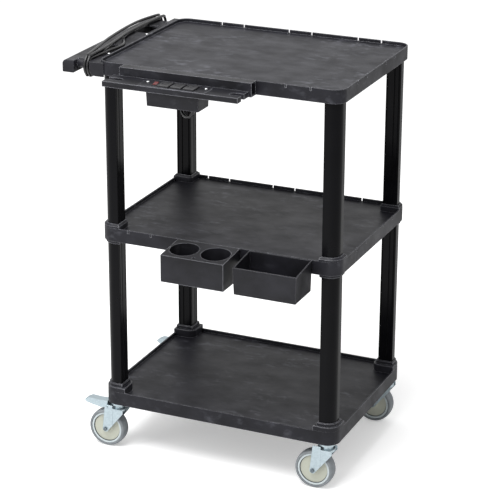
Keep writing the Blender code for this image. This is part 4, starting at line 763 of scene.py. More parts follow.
def row_group():
    """Node group: a block repeated along a line, as one real mesh with its material."""
    found = bpy.data.node_groups.get("block_row")
    if found:
        return found
    group = bpy.data.node_groups.new("block_row", "GeometryNodeTree")
    sockets = {}
    for name, kind in (
        ("Count", "NodeSocketInt"),
        ("Start", "NodeSocketVector"),
        ("Step", "NodeSocketVector"),
        ("Size", "NodeSocketVector"),
        ("Material", "NodeSocketMaterial"),
    ):
        socket = group.interface.new_socket(name, in_out="INPUT", socket_type=kind)
        sockets[name] = socket.identifier
    group.interface.new_socket("Mesh", in_out="OUTPUT", socket_type="NodeSocketGeometry")
    nodes = group.nodes
    source = nodes.new("NodeGroupInput")
    line = nodes.new("GeometryNodeMeshLine")
    cube = nodes.new("GeometryNodeMeshCube")
    instance = nodes.new("GeometryNodeInstanceOnPoints")
    real = nodes.new("GeometryNodeRealizeInstances")
    paint = nodes.new("GeometryNodeSetMaterial")
    target = nodes.new("NodeGroupOutput")
    links = group.links
    links.new(source.outputs["Count"], line.inputs["Count"])
    links.new(source.outputs["Start"], line.inputs["Start Location"])
    links.new(source.outputs["Step"], line.inputs["Offset"])
    links.new(source.outputs["Size"], cube.inputs["Size"])
    links.new(line.outputs["Mesh"], instance.inputs["Points"])
    links.new(cube.outputs["Mesh"], instance.inputs["Instance"])
    links.new(instance.outputs["Instances"], real.inputs["Geometry"])
    links.new(real.outputs["Geometry"], paint.inputs["Geometry"])
    links.new(source.outputs["Material"], paint.inputs["Material"])
    links.new(paint.outputs["Geometry"], target.inputs["Mesh"])
    return group


def block_row(count, start, step, size, material=None):
    """A row of equal blocks as one mesh: the first one's centre, the step and a block's size."""
    group = row_group()
    thing = helper(bpy.data.meshes.new("row"))
    modifier = thing.modifiers.new("row", "NODES")
    modifier.node_group = group
    values = {"Count": count, "Start": start, "Step": step, "Size": size, "Material": material}
    for item in group.interface.items_tree:
        if item.in_out == "INPUT" and values[item.name] is not None:
            modifier[item.identifier] = values[item.name]
    return made(thing)


# Finishes

def linear(hex_colour):
    """An sRGB hex colour as linear red, green, blue and alpha."""
    values = []
    for start in (0, 2, 4):
        share = int(hex_colour[start:start + 2], 16) / 255
        values.append(share / 12.92 if share <= 0.04045 else ((share + 0.055) / 1.055) ** 2.4)
    return (*values, 1.0)


def add(tree, kind, inputs=(), **settings):
    """A shader node with its settings, constants and links."""
    node = tree.nodes.new("ShaderNode" + kind)
    for name, value in settings.items():
        setattr(node, name, value)
    for key, value in dict(inputs).items():
        if isinstance(value, bpy.types.NodeSocket):
            tree.links.new(value, node.inputs[key])
        else:
            node.inputs[key].default_value = value
    return node


def mix(tree, share, first, second):
    """A colour between two others."""
    node = add(tree, "Mix", data_type="RGBA")
    for index, value in ((0, share), (6, first), (7, second)):
        if isinstance(value, bpy.types.NodeSocket):
            tree.links.new(value, node.inputs[index])
        else:
            node.inputs[index].default_value = value
    return node.outputs[2]


def noise(tree, size, detail=3.0, stretch=(1, 1, 1), rough=0.5):
    """Soft noise whose lumps are about size metres across, stretched along the axes."""
    coordinates = add(tree, "TexCoord").outputs["Object"]
    scale = [1 / (size * factor) for factor in stretch]
    mapping = add(tree, "Mapping", {"Vector": coordinates, "Scale": scale}, vector_type="POINT")
    values = {"Vector": mapping.outputs[0], "Scale": 1.0, "Detail": detail, "Roughness": rough}
    return add(tree, "TexNoise", values).outputs["Fac"]


def between(tree, value, low, high, start=0.0, end=1.0):
    """A value moved from one range into another, and held there."""
    node = add(tree, "MapRange", {"Value": value, 1: low, 2: high, 3: start, 4: end})
    return node.outputs[0]


def times(tree, first, second):
    """The product of two values."""
    return add(tree, "Math", {0: first, 1: second}, operation="MULTIPLY").outputs[0]


def new_material(name):
    """An empty material and its Principled shader."""
    material = bpy.data.materials.new(name)
    material.use_nodes = True
    return material, material.node_tree, material.node_tree.nodes["Principled BSDF"]


def connect(tree, shader, **links):
    """Links or constants on the shader's sockets, with spaces in their names as underscores."""
    for name, value in links.items():
        socket = shader.inputs[name.replace("_", " ")]
        if isinstance(value, bpy.types.NodeSocket):
            tree.links.new(value, socket)
        else:
            socket.default_value = value


def bump(tree, height, depth, strength=1.0):
    """A normal from a height pattern with its depth in metres."""
    return add(tree, "Bump", {"Height": height, "Distance": depth, "Strength": strength}).outputs[0]


def facing_up(tree):
    """One on faces that look up, nothing on the others."""
    normal = add(tree, "NewGeometry").outputs["Normal"]
    height = add(tree, "SeparateXYZ", {0: normal}).outputs[2]
    return between(tree, height, 0.7, 0.95)


def free_of_painted_shade(tree):
    """One on open faces, nothing down in notches and seams: a mask from ambient occlusion that sets
    where shade is painted.
    """
    occlusion = add(tree, "AmbientOcclusion", {"Distance": 0.008}, samples=4).outputs["AO"]
    return between(tree, occlusion, 0.35, 0.75)


def edge_polish_and_highlight(tree):
    """One along edges, nothing on flat faces: there the colour takes a painted highlight, and the
    skin is made glossier as handling polishes it.
    """
    rounded_off = add(tree, "Bevel", {"Radius": 0.0022}, samples=4).outputs["Normal"]
    normal = add(tree, "NewGeometry").outputs["Normal"]
    agreement = add(tree, "VectorMath", {0: rounded_off, 1: normal}, operation="DOT_PRODUCT")
    return between(tree, agreement.outputs["Value"], 0.97, 0.82)


def structural_foam(name, dark, light, scuff, roughness, scuffs, swirls):
    """Moulded foam plastic: a cloudy skin, a fine grain, pale scuffs on what faces up, painted shade
    down in notches and seams, and a painted highlight along open edges.
    """
    material, tree, shader = new_material(name)
    settings = bpy.context.scene.cart_finish
    clouds = noise(tree, 0.060, 5.0, (1.3, 0.9, 1.0), 0.55)
    colour = mix(tree, between(tree, clouds, 0.35, 0.7), linear(dark), linear(light))
    streaks = noise(tree, 0.022, 4.0, (1.5, 0.8, 1.0), 0.6)
    worn = between(tree, streaks, 0.52, 0.72)
    worn = times(tree, worn, between(tree, noise(tree, 0.16, 2.0), 0.45, 0.65))
    least, most = settings.scuffs * swirls, settings.scuffs * scuffs
    worn = times(tree, worn, between(tree, facing_up(tree), 0.0, 1.0, least, most))
    grain = noise(tree, 0.0011, 2.0)
    pores = noise(tree, 0.006, 4.0)
    height = add(tree, "Math", {0: grain, 1: pores}, operation="ADD").outputs[0]
    # clear is one on open faces and falls to nothing in notches and seams, which take a painted shade
    clear = free_of_painted_shade(tree)
    edge = times(tree, edge_polish_and_highlight(tree), clear)
    # Painted shade: near black 060608 mixed in down in notches and seams, where shade falls
    colour = mix(tree, clear, linear("060608"), mix(tree, worn, colour, linear(scuff)))
    dull = between(tree, clouds, 0.3, 0.7, roughness + 0.06, roughness - 0.06)
    # Painted highlight: pale 8f9097 mixed into the colour along open edges; the gloss there is raised
    # as well
    connect(
        tree, shader,
        Base_Color=mix(tree, times(tree, edge, 0.9), colour, linear("8f9097")),
        Roughness=between(tree, edge, 0.0, 1.0, dull, 0.28),
        Specular_IOR_Level=between(tree, edge, 0.0, 1.0, 0.2, 0.8),
        Normal=bump(tree, height, 0.0003, settings.grain),
    )
    return material


def extruded_plastic():
    """Near-black extruded posts: glossy, with faint lines along their length."""
    material, tree, shader = new_material("black_extruded_gloss")
    lines = noise(tree, 0.0016, 2.0, (1, 1, 400))
    blotches = noise(tree, 0.05, 3.0)
    connect(
        tree, shader,
        Base_Color=mix(tree, blotches, linear("040406"), linear("09090c")),
        Roughness=between(tree, blotches, 0.3, 0.7, 0.18, 0.28),
        Specular_IOR_Level=0.09,
        Normal=bump(tree, lines, 0.0001, 0.5),
    )
    return material


def small_plastic(name, colour, other, roughness, grain):
    """A small moulding with a fine even grain."""
    material, tree, shader = new_material(name)
    speckle = noise(tree, 0.0009, 2.0)
    connect(
        tree, shader,
        Base_Color=mix(tree, noise(tree, 0.012, 3.0), linear(colour), linear(other)),
        Roughness=between(tree, speckle, 0.3, 0.7, roughness - 0.04, roughness + 0.04),
        IOR=1.5,
        Normal=bump(tree, speckle, 0.0001, grain),
    )
    return material


def plated_steel(name, colour, other, roughness):
    """Zinc plate: bright metal with a faint spangle and slightly uneven gloss."""
    material, tree, shader = new_material(name)
    coordinates = add(tree, "TexCoord").outputs["Object"]
    spangle = add(tree, "TexVoronoi", {"Vector": coordinates, "Scale": 260.0}).outputs["Color"]
    tone = add(tree, "SeparateColor", {0: spangle}).outputs[0]
    base = mix(tree, tone, linear(colour), linear(other))
    gloss = noise(tree, 0.006, 3.0)
    connect(
        tree, shader,
        Base_Color=base,
        Metallic=1.0,
        Roughness=between(tree, gloss, 0.3, 0.7, roughness - 0.06, roughness + 0.08),
        Normal=bump(tree, noise(tree, 0.002, 2.0), 0.0001, 0.3),
    )
    return material


def tyre_rubber():
    """Grey tyre: matt rubber, finely speckled, with a little floor dust."""
    material, tree, shader = new_material("grey_rubber_tyre")
    speckle = noise(tree, 0.0014, 3.0)
    dust = noise(tree, 0.02, 4.0)
    connect(
        tree, shader,
        Base_Color=mix(tree, between(tree, dust, 0.4, 0.7), linear("6e7377"), linear("7f8487")),
        Roughness=between(tree, speckle, 0.3, 0.7, 0.55, 0.72),
        IOR=1.5,
        Normal=bump(tree, speckle, 0.0002, 0.4),
    )
    return material


# Each finish by its short name: the function that makes it, and what that takes
RECIPES = {
    # Trays: cloudy charcoal, with pale scuffs where things slide over the decks
    "tray": (structural_foam, "black_foam_tray", "131318", "202026", "66676f", 0.46, 1.1, 0.5),
    # Handle, strip and holders: the same foam, less scuffed and a little glossier
    "moulding": (
        structural_foam, "black_foam_moulding", "111114", "222227", "5c5d64", 0.42, 0.4, 0.6,
    ),
    # Posts: near black, with long soft reflections
    "post": (extruded_plastic,),
    # Outlets and switch frame: an even satin black
    "outlet": (small_plastic, "black_outlet_moulding", "1c1c1e", "232326", 0.42, 0.3),
    # Rocker: deep red with a sharp gloss
    "rocker": (small_plastic, "red_gloss_rocker", "4a0608", "5a0a0b", 0.12, 0.1),
    # Cord, relief and plug: smooth black vinyl that catches a thin line of light
    "cord": (small_plastic, "black_cord_vinyl", "08080a", "0e0e11", 0.26, 0.3),
    # Forks, caps and pedals: bright, bluish zinc with a faint spangle
    "zinc": (plated_steel, "bright_zinc_plate", "a9b7bd", "b5c2c8", 0.38),
    # Axle bolts: darker and duller steel than the forks
    "bolt": (plated_steel, "dull_steel_bolt", "5c656b", "7b858b", 0.42),
    # Screws and plug pins: small points of bright metal
    "screw": (plated_steel, "bright_screw", "e6e8ea", "f4f5f6", 0.25),
    # Wheel centres: pale warm grey, slightly matt
    "wheel": (small_plastic, "pale_wheel_moulding", "a9ab9e", "b4b6a8", 0.50, 0.3),
    # Raised ring of the wheels: cooler and paler than the centre
    "ring": (small_plastic, "pale_wheel_ring", "b4bdc0", "c0c8ca", 0.42, 0.2),
    # Groove inside the ring: a dark line of shade and dust
    "groove": (small_plastic, "dark_wheel_groove", "4c5254", "575e60", 0.60, 0.2),
    # Tyres: matt mid grey
    "tyre": (tyre_rubber,),
    # Cord clips: plain black, out of sight under the top tray
    "clip": (small_plastic, "black_clip_moulding", "1a1a1c", "222225", 0.45, 0.3),
}
FINISHES = {}


def finish(name):
    """A finish by its short name, made once."""
    if name not in FINISHES:
        make, *values = RECIPES[name]
        FINISHES[name] = make(*values)
    return FINISHES[name]


def repaint(node, name):
    """A CAD node that keeps its shape takes a finish."""
    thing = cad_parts[node]
    for slot in thing.material_slots:
        slot.material = finish(name)


# Routes of the cord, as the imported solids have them

def smooth_route(points, spacing):
    """Evenly spaced points on a smooth curve through given ones."""
    chosen = [Vector(point) for point in points]
    chain = [chosen[0] * 2 - chosen[1], *chosen, chosen[-1] * 2 - chosen[-2]]
    fine = []
    for index in range(1, len(chain) - 2):
        before, start, end, after = chain[index - 1:index + 3]
        for step in range(12):
            t = step / 12
            fine.append(0.5 * (
                2 * start
                + (end - before) * t
                + (2 * before - 5 * start + 4 * end - after) * t * t
                + (3 * start - before - 3 * end + after) * t * t * t
            ))
    fine.append(chosen[-1])
    return resample(fine, spacing)


def resample(points, spacing):
    """The same path with its points evenly spaced."""
    lengths = [0.0]
    for start, end in zip(points, points[1:]):
        lengths.append(lengths[-1] + (end - start).length)
    count = max(2, round(lengths[-1] / spacing))
    spaced = []
    index = 0
    for step in range(count + 1):
        wanted = lengths[-1] * step / count
        while index < len(lengths) - 2 and lengths[index + 1] < wanted:
            index += 1
        span = lengths[index + 1] - lengths[index]
        share = (wanted - lengths[index]) / span if span else 0
        spaced.append(points[index].lerp(points[index + 1], share))
    return spaced


def half_turn(side, column, centre, radii):
    """Points round one arm's outer side, rising at the front (side -1) and falling at the back."""
    points = []
    for step in range(TURN_POINTS):
        share = (step + 0.5) / TURN_POINTS
        angle = math.pi * share
        radius = radii[0] + (radii[1] - radii[0]) * share
        points.append(Vector((
            column - HALF_LENGTH,
            side * (LOOP_REACH + radius * math.sin(angle)),
            centre + side * radius * math.cos(angle),
        )))
    return points


def run_points():
    """The free cord from the strain relief to the winding."""
    edge = Vector((0, -HALF_WIDTH, TOP_RIM))
    points = [edge + Vector(point) for point in STRIP_ROUTE]
    edge.x = -HALF_LENGTH
    return points + [edge + Vector(point) for point in HANDLE_ROUTE]


def winding_points(start):
    """The cord's turns on the handle, and its loose end."""
    centre = HANDLE_TOP + CORD_DIAMETER / 2 + WINDING_GAP - LOOP_INNER
    path = [start, start - Vector((0, CORD_DIAMETER, 0))]
    last = len(FRONT_COLUMNS) - 1
    for loop in range(len(FRONT_COLUMNS)):
        radius = LOOP_INNER + LOOP_LAYERS[loop] * LAYER_STEP
        path += half_turn(-1, FRONT_COLUMNS[loop], centre, (radius, radius))
        for step, x in enumerate(TOP_DRIFT[loop]):
            share = (step + 1) / (RUN_POINTS + 1)
            path.append(Vector((x - HALF_LENGTH, LOOP_REACH * (2 * share - 1), centre + radius)))
        if loop == last:
            path += half_turn(1, REAR_COLUMNS[loop], centre, (radius, LOOP_INNER))
            break
        path += half_turn(1, REAR_COLUMNS[loop], centre, (radius, radius))
        for step, x in enumerate(BOTTOM_DRIFT[loop]):
            share = (step + 1) / (RUN_POINTS + 1)
            height = centre - LOOP_INNER - BOTTOM_LAYERS[loop][step] * LAYER_STEP
            path.append(Vector((x - HALF_LENGTH, LOOP_REACH * (1 - 2 * share), height)))
    edge = Vector((-HALF_LENGTH, HALF_WIDTH, TOP_RIM))
    return path + [edge + Vector(point) for point in TAIL_ROUTE]


class CART_OT_stage(bpy.types.Operator):
    """Floor, light and camera"""
    bl_idname = "cart.stage"
    bl_label = "Stage"

    def execute(self, context):
        settings = context.scene.cart_stage
        self.camera(context)
        self.world(context, settings.ambient)
        far = FLOOR_HALF
        plan = [(-far, -far), (far, -far), (far, far), (-far, far)]
        floor = bpy.data.objects.new("floor", solid(plan, -FLOOR_DEPTH, 0))
        context.scene.collection.objects.link(floor)
        material, tree, shader = new_material("pale_floor")
        tone = mix(tree, noise(tree, 0.4, 2.0), linear("f6f6f6"), linear("fafafa"))
        glow = times(tree, add(tree, "LightPath").outputs["Is Camera Ray"], FLOOR_GLOW)
        connect(
            tree, shader,
            Base_Color=tone,
            Roughness=0.9,
            Specular_IOR_Level=0.0,
            Emission_Color=(1, 1, 1, 1),
            Emission_Strength=glow,
        )
        floor.data.materials.append(material)
        for name, power in (("key", settings.key), ("side", settings.side)):
            self.softbox(context, name, power, *LAMPS[name])
        return {"FINISHED"}

    def camera(self, context):
        """The camera at the photograph's place and angle."""
        ahead = Vector((
            -math.sin(CAMERA_YAW) * math.cos(CAMERA_PITCH),
            math.cos(CAMERA_YAW) * math.cos(CAMERA_PITCH),
            math.sin(CAMERA_PITCH),
        ))
        level = Vector((math.cos(CAMERA_YAW), math.sin(CAMERA_YAW), 0))
        upward = level.cross(ahead)
        right = level * math.cos(CAMERA_ROLL) + upward * math.sin(CAMERA_ROLL)
        up = upward * math.cos(CAMERA_ROLL) - level * math.sin(CAMERA_ROLL)
        lens = bpy.data.cameras.new("photo_camera")
        lens.sensor_width = SENSOR_WIDTH
        lens.lens = CAMERA_LENS
        lens.clip_end = CAMERA_REACH
        camera = bpy.data.objects.new("photo_camera", lens)
        context.scene.collection.objects.link(camera)
        turned = Matrix((right, up, -ahead)).transposed().to_4x4()
        camera.matrix_world = Matrix.Translation(CAMERA_PLACE + SHIFT) @ turned
        context.scene.camera = camera

    def world(self, context, ambient):
        """White for the camera and reflections, softer for the light that falls on things."""
        context.scene.view_settings.view_transform = "Standard"
        world = bpy.data.worlds.new("studio")
        context.scene.world = world
        world.use_nodes = True
        tree = world.node_tree
        back = tree.nodes["Background"]
        path = add(tree, "LightPath").outputs
        seen = path["Is Camera Ray"]
        for kind in ("Is Glossy Ray", "Is Transmission Ray"):
            seen = add(tree, "Math", {0: seen, 1: path[kind]}, operation="MAXIMUM").outputs[0]
        strength = between(tree, seen, 0.0, 1.0, ambient, 1.0)
        tree.links.new(strength, back.inputs["Strength"])
        back.inputs["Color"].default_value = (1, 1, 1, 1)

    def softbox(self, context, name, power, size, place, aim):
        """A large soft lamp that looks at a point."""
        light = bpy.data.lights.new(name, "AREA")
        light.shape = "RECTANGLE"
        light.size, light.size_y = size
        light.energy = power
        lamp = bpy.data.objects.new(name, light)
        context.scene.collection.objects.link(lamp)
        lamp.location = place
        lamp.rotation_euler = (Vector(aim) - Vector(place)).to_track_quat("-Z", "Y").to_euler()


class CART_OT_cord(bpy.types.Operator):
    """Mains cord wound on the handle, with its plug, strain relief and clips"""
    bl_idname = "cart.cord"
    bl_label = "Cord"

    def execute(self, context):
        run = run_points()
        turns = winding_points(run[-1] - Vector((0, GAP, 0)))
        points = smooth_route(run + turns, CORD_DIAMETER * 0.8)
        points = [point + SHIFT for point in points]
        curve = bpy.data.curves.new("mains_cord", "CURVE")
        curve.dimensions = "3D"
        curve.bevel_depth = CORD_DIAMETER / 2
        curve.bevel_resolution = 4
        curve.use_fill_caps = True
        spline = curve.splines.new("POLY")
        spline.points.add(len(points) - 1)
        for point, place in zip(spline.points, points):
            point.co = (*place, 1)
        spline.use_smooth = True
        curve.materials.append(finish("cord"))
        cord = bpy.data.objects.new("mains_cord", curve)
        context.scene.collection.objects.link(cord)
        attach(cord, "cart")
        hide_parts("cord_run", "cord_winding")
        plug = self.plug(points[-1] - SHIFT - Vector((0, GAP, 0)))
        relief = self.relief()
        for name in ("cord_clip_1", "cord_clip_2"):
            repaint(name, "clip")
        return {"FINISHED"}

    def relief(self):
        """Tapered strain relief with rings cut round its sleeve."""
        steps = shape_settings().small_steps
        tip, collar, neck, root = RELIEF_RADII
        floor = BOX_LOW[2]
        above = floor + BOX_WALL + GAP
        below = floor - GAP
        profile = [(tip, above + RELIEF_UPPER), (tip, above + RELIEF_FLANGE)]
        profile += [(collar, above + RELIEF_FLANGE), (collar, above), (neck, above), (neck, below)]
        profile += [(collar, below), (collar, below - RELIEF_BRIM), (root, floor - RELIEF_SHOULDER)]
        for ring in range(RELIEF_RINGS):
            height = floor - RELIEF_FIRST_RING - ring * RELIEF_RING_PITCH
            radius = root + (tip - root) * (floor - height) / RELIEF_LENGTH
            inner = radius - RELIEF_GROOVE
            profile += [(radius, height), (inner, height - CRISP_CHAMFER)]
            profile.append((inner, height - RELIEF_RING_PITCH / 2))
        profile.append((tip, floor - RELIEF_LENGTH))
        mesh = lathe(profile, steps, (*RELIEF_PLACE, 0))
        return piece("strain_relief", mesh, finish("cord"), "cart", ["cord_relief"])

    def plug(self, tip):
        """Moulded plug with a ribbed sleeve, two blades and an earth pin."""
        x, y, z = tip
        length, width, height = PLUG_BODY
        back = y - PLUG_RELIEF
        front = back - length
        body = block((x - width / 2, front, z - height / 2), (x + width / 2, back, z + height / 2))
        waist = []
        for side in (-1, 1):
            place = (x + side * (width / 2 + PLUG_WAIST_REACH), (front + back) / 2, 0)
            waist.append(rod(PLUG_WAIST, z - OVERRUN, z + OVERRUN, place, RACE_STEPS))
        body = shaped(body, [("-", gather(waist))], PLUG_EDGE, 3)
        profile = [(SLEEVE_ROOT, -SLEEVE_LAP), (SLEEVE_ROOT, 0.0)]
        for ring in range(SLEEVE_RINGS):
            low = ring * SLEEVE_PITCH
            radius = SLEEVE_ROOT - SLEEVE_TAPER * ring / SLEEVE_RINGS
            inner = radius - SLEEVE_GROOVE
            for reach, rise in zip((radius, radius, inner, inner), SLEEVE_RING):
                profile.append((reach, low + rise))
        profile.append((SLEEVE_TIP, PLUG_RELIEF))
        sleeve = lathe(profile, BORE_STEPS, (x, back, z), "Y")
        metal = []
        thin = BLADE_THICKNESS / 2
        foot = z - BLADE_WIDTH / 2 + PIN_DIAMETER / 2
        for side in (-1, 1):
            middle = x + side * SLOT_SPACING / 2
            high = (middle + thin, front + METAL_SINK, foot + BLADE_WIDTH)
            metal.append(block((middle - thin, front - BLADE_LENGTH, foot), high))
        place = (x, front, z - PIN_DIAMETER)
        metal.append(pin(PIN_DIAMETER / 2, -PIN_LENGTH, METAL_SINK, place, "Y"))
        pins = shaped(gather(metal), [], CRISP_EDGE)
        plug = piece("plug", gather([body, sleeve, pins]), finish("cord"), "cart", ["cord_plug"])
        plug.data.materials.append(finish("screw"))
        for face in plug.data.polygons:
            if face.center.y - SHIFT.y < front - 0.0001:
                face.material_index = 1
        return plug


class CART_OT_trays(bpy.types.Operator):
    """The three moulded trays"""
    bl_idname = "cart.trays"
    bl_label = "Trays"

    def execute(self, context):
        self.top()
        self.middle()
        self.bottom()
        return {"FINISHED"}

    def base(self, rim, under, turned_round=False, notched_ends=()):
        """A tray with round edges, and the steps that add its ribs and cut its notches."""
        deck = rim - RIM_DEPTH
        ceiling = deck - DECK_THICKNESS
        edge = shape_settings().edge
        profile = [(SKIRT_THICKNESS + edge, ceiling), (SKIRT_THICKNESS, ceiling - edge)]
        profile += arc((SKIRT_THICKNESS - edge, under + edge), edge, 0, -90, 3)
        profile += arc((edge, under + edge), edge, 270, 180, 3)
        profile += arc((edge, rim - edge), edge, 180, 90, 3)
        profile += arc((RIM_THICKNESS - edge, rim - edge), edge, 90, 0, 3)
        profile += arc((RIM_THICKNESS + edge, deck + edge), edge, 180, 270, 3)
        base = loft([(tray_outline(inset), height) for inset, height in profile])
        steps = [("+", ribs) for ribs in self.ribs(ceiling)]
        if notched_ends:
            steps.append(("-", self.notches(rim, turned_round, notched_ends)))
        return base, steps

    def ribs(self, ceiling):
        """Two crossing rows of ribs under the deck."""
        reach = (HALF_LENGTH - SKIRT_THICKNESS / 2, HALF_WIDTH - SKIRT_THICKNESS / 2)
        height = RIB_DEPTH + DECK_THICKNESS / 2
        middle = ceiling + DECK_THICKNESS / 2 - height / 2
        rows = []
        for axis in (0, 1):
            count = RIB_CELLS[axis] - 1
            pitch = 2 * reach[axis] / RIB_CELLS[axis]
            first = [0, 0, middle]
            first[axis] = pitch - reach[axis]
            step = [0, 0, 0]
            step[axis] = pitch
            size = [2 * reach[0], 2 * reach[1], height - axis * SEAM]
            size[axis] = RIB_THICKNESS
            rows.append(block_row(count, first, step, size))
        return rows

    def notches(self, rim, turned_round, notched_ends):
        """Cutters for the notches in a rim, in pairs along each side."""
        sign = -1 if turned_round else 1
        height = NOTCH_DEPTH + OVERRUN
        across = RIM_THICKNESS + NOTCH_LAP + OVERRUN
        middle = rim - NOTCH_DEPTH + height / 2
        meshes = []
        for half in (-NOTCH_PAIR / 2, NOTCH_PAIR / 2):
            first = sign * LONG_SIDE_SHIFT - LONG_SIDE_PITCH + half
            for side in (-1, 1):
                edge = side * (HALF_WIDTH - RIM_THICKNESS - NOTCH_LAP + across / 2)
                size = (NOTCH_WIDTH, across, height)
                meshes.append(block_row(3, (first, edge, middle), (LONG_SIDE_PITCH, 0, 0), size))
            first = sign * SHORT_SIDE_SHIFT - SHORT_SIDE_PITCH / 2 + half
            for side in notched_ends:
                edge = side * (HALF_LENGTH - RIM_THICKNESS - NOTCH_LAP + across / 2)
                size = (across, NOTCH_WIDTH, height)
                meshes.append(block_row(2, (edge, first, middle), (0, SHORT_SIDE_PITCH, 0), size))
        return gather(meshes)

    def corners(self, outline, low, high, edge=0.0, upper=True):
        """The same plate in all four corners, with a chamfer round its upper or lower face."""
        meshes = []
        for signs in CORNERS.values():
            mesh = solid(outline(signs), low, high)
            if edge:
                work = bmesh.new()
                work.from_mesh(mesh)
                sign = 1 if upper else -1
                face = max(work.faces, key=lambda item: item.calc_center_median().z * sign)
                rim = list(face.edges)
                bmesh.ops.bevel(work, geom=rim, offset=edge, segments=1, affect="EDGES")
                work.to_mesh(mesh)
                work.free()
            meshes.append(mesh)
        return gather(meshes)

    def top(self):
        """Top tray: the posts end in sockets behind its skirt."""
        base, steps = self.base(TOP_RIM, TOP_UNDER, notched_ends=(1,))
        deck = TOP_RIM - RIM_DEPTH
        steps.append(("+", self.corners(
            lambda signs: corner_outline(signs, SKIRT_THICKNESS / 2, BLOCK_MARGIN, 0.002),
            TOP_UNDER + BLOCK_RISE,
            deck - DECK_THICKNESS / 2,
        )))
        steps.append(("-", self.corners(
            lambda signs: post_outline(signs, GAP), TOP_UNDER - OVERRUN, deck - TOP_SOCKET_CAP,
        )))
        piece("top_tray", shaped(base, steps), finish("tray"), "cart", ["top_shelf"])

    def middle(self):
        """Middle tray: chamfered bosses above, collars below."""
        base, steps = self.base(MIDDLE_RIM, MIDDLE_UNDER, True, (-1, 1))
        top = MIDDLE_RIM + MIDDLE_BOSS_HEIGHT
        bottom = MIDDLE_UNDER - UNDER_COLLAR_HEIGHT
        steps.append(("+", self.corners(
            lambda signs: corner_outline(signs, SEAM, BLOCK_MARGIN, MIDDLE_BOSS_EDGE + 0.0006),
            MIDDLE_UNDER + BLOCK_RISE,
            top,
            MIDDLE_BOSS_EDGE,
        )))
        steps.append(("+", self.corners(
            lambda signs: post_outline(signs, COLLAR_MARGIN),
            bottom,
            MIDDLE_UNDER + UNDER_COLLAR_HEIGHT,
            0.002,
            False,
        )))
        steps.append(("-", self.corners(
            lambda signs: post_outline(signs, GAP), top - UPPER_SOCKET_DEPTH, top + OVERRUN,
        )))
        steps.append(("-", self.corners(
            lambda signs: post_outline(signs, GAP), bottom - OVERRUN, bottom + LOWER_SOCKET_DEPTH,
        )))
        piece("middle_tray", shaped(base, steps), finish("tray"), "cart", ["middle_shelf"])

    def bottom(self):
        """Bottom tray: two-step bosses round the posts."""
        base, steps = self.base(BOTTOM_RIM, CASTER_HEIGHT)
        step = BOTTOM_RIM + BOTTOM_BLOCK_HEIGHT
        top = step + COLLAR_HEIGHT
        steps.append(("+", self.corners(
            lambda signs: corner_outline(signs, SEAM, BOTTOM_BLOCK_MARGIN, BOTTOM_BLOCK_RADIUS),
            CASTER_HEIGHT + BLOCK_RISE,
            step,
            0.0015,
        )))
        steps.append(("+", self.corners(
            lambda signs: post_outline(signs, COLLAR_MARGIN), step - COLLAR_HEIGHT, top, 0.002,
        )))
        steps.append(("-", self.corners(
            lambda signs: post_outline(signs, GAP), top - BOTTOM_SOCKET_DEPTH, top + OVERRUN,
        )))
        stems = []
        for signs in CORNERS.values():
            high = CASTER_HEIGHT + STEM_BORE_DEPTH
            stems.append(pin(STEM_RADIUS + GAP, CASTER_HEIGHT - OVERRUN, high, caster_place(signs)))
        steps.append(("-", gather(stems)))
        piece("bottom_tray", shaped(base, steps), finish("tray"), "cart", ["bottom_shelf"])


class CART_OT_posts(bpy.types.Operator):
    """The eight fluted posts"""
    bl_idname = "cart.posts"
    bl_label = "Posts"

    def execute(self, context):
        low = BOTTOM_RIM + BOTTOM_BLOCK_HEIGHT + COLLAR_HEIGHT - BOTTOM_SOCKET_DEPTH
        under = MIDDLE_UNDER - UNDER_COLLAR_HEIGHT + LOWER_SOCKET_DEPTH
        over = MIDDLE_RIM + MIDDLE_BOSS_HEIGHT - UPPER_SOCKET_DEPTH
        high = TOP_RIM - RIM_DEPTH - TOP_SOCKET_CAP
        for kind, span in (("lower_post", (low, under)), ("upper_post", (over, high))):
            for corner, signs in CORNERS.items():
                inside = post_outline(signs, -POST_WALL)
                bore = solid(inside, span[0] - OVERRUN, span[1] + OVERRUN)
                mesh = solid(fluted_outline(signs), span[0] + GAP, span[1] - GAP)
                mesh = shaped(mesh, [("-", bore)])
                node = f"{kind}_{corner}"
                piece(f"fluted_{node}", mesh, finish("post"), "cart", [node], 45)
        return {"FINISHED"}


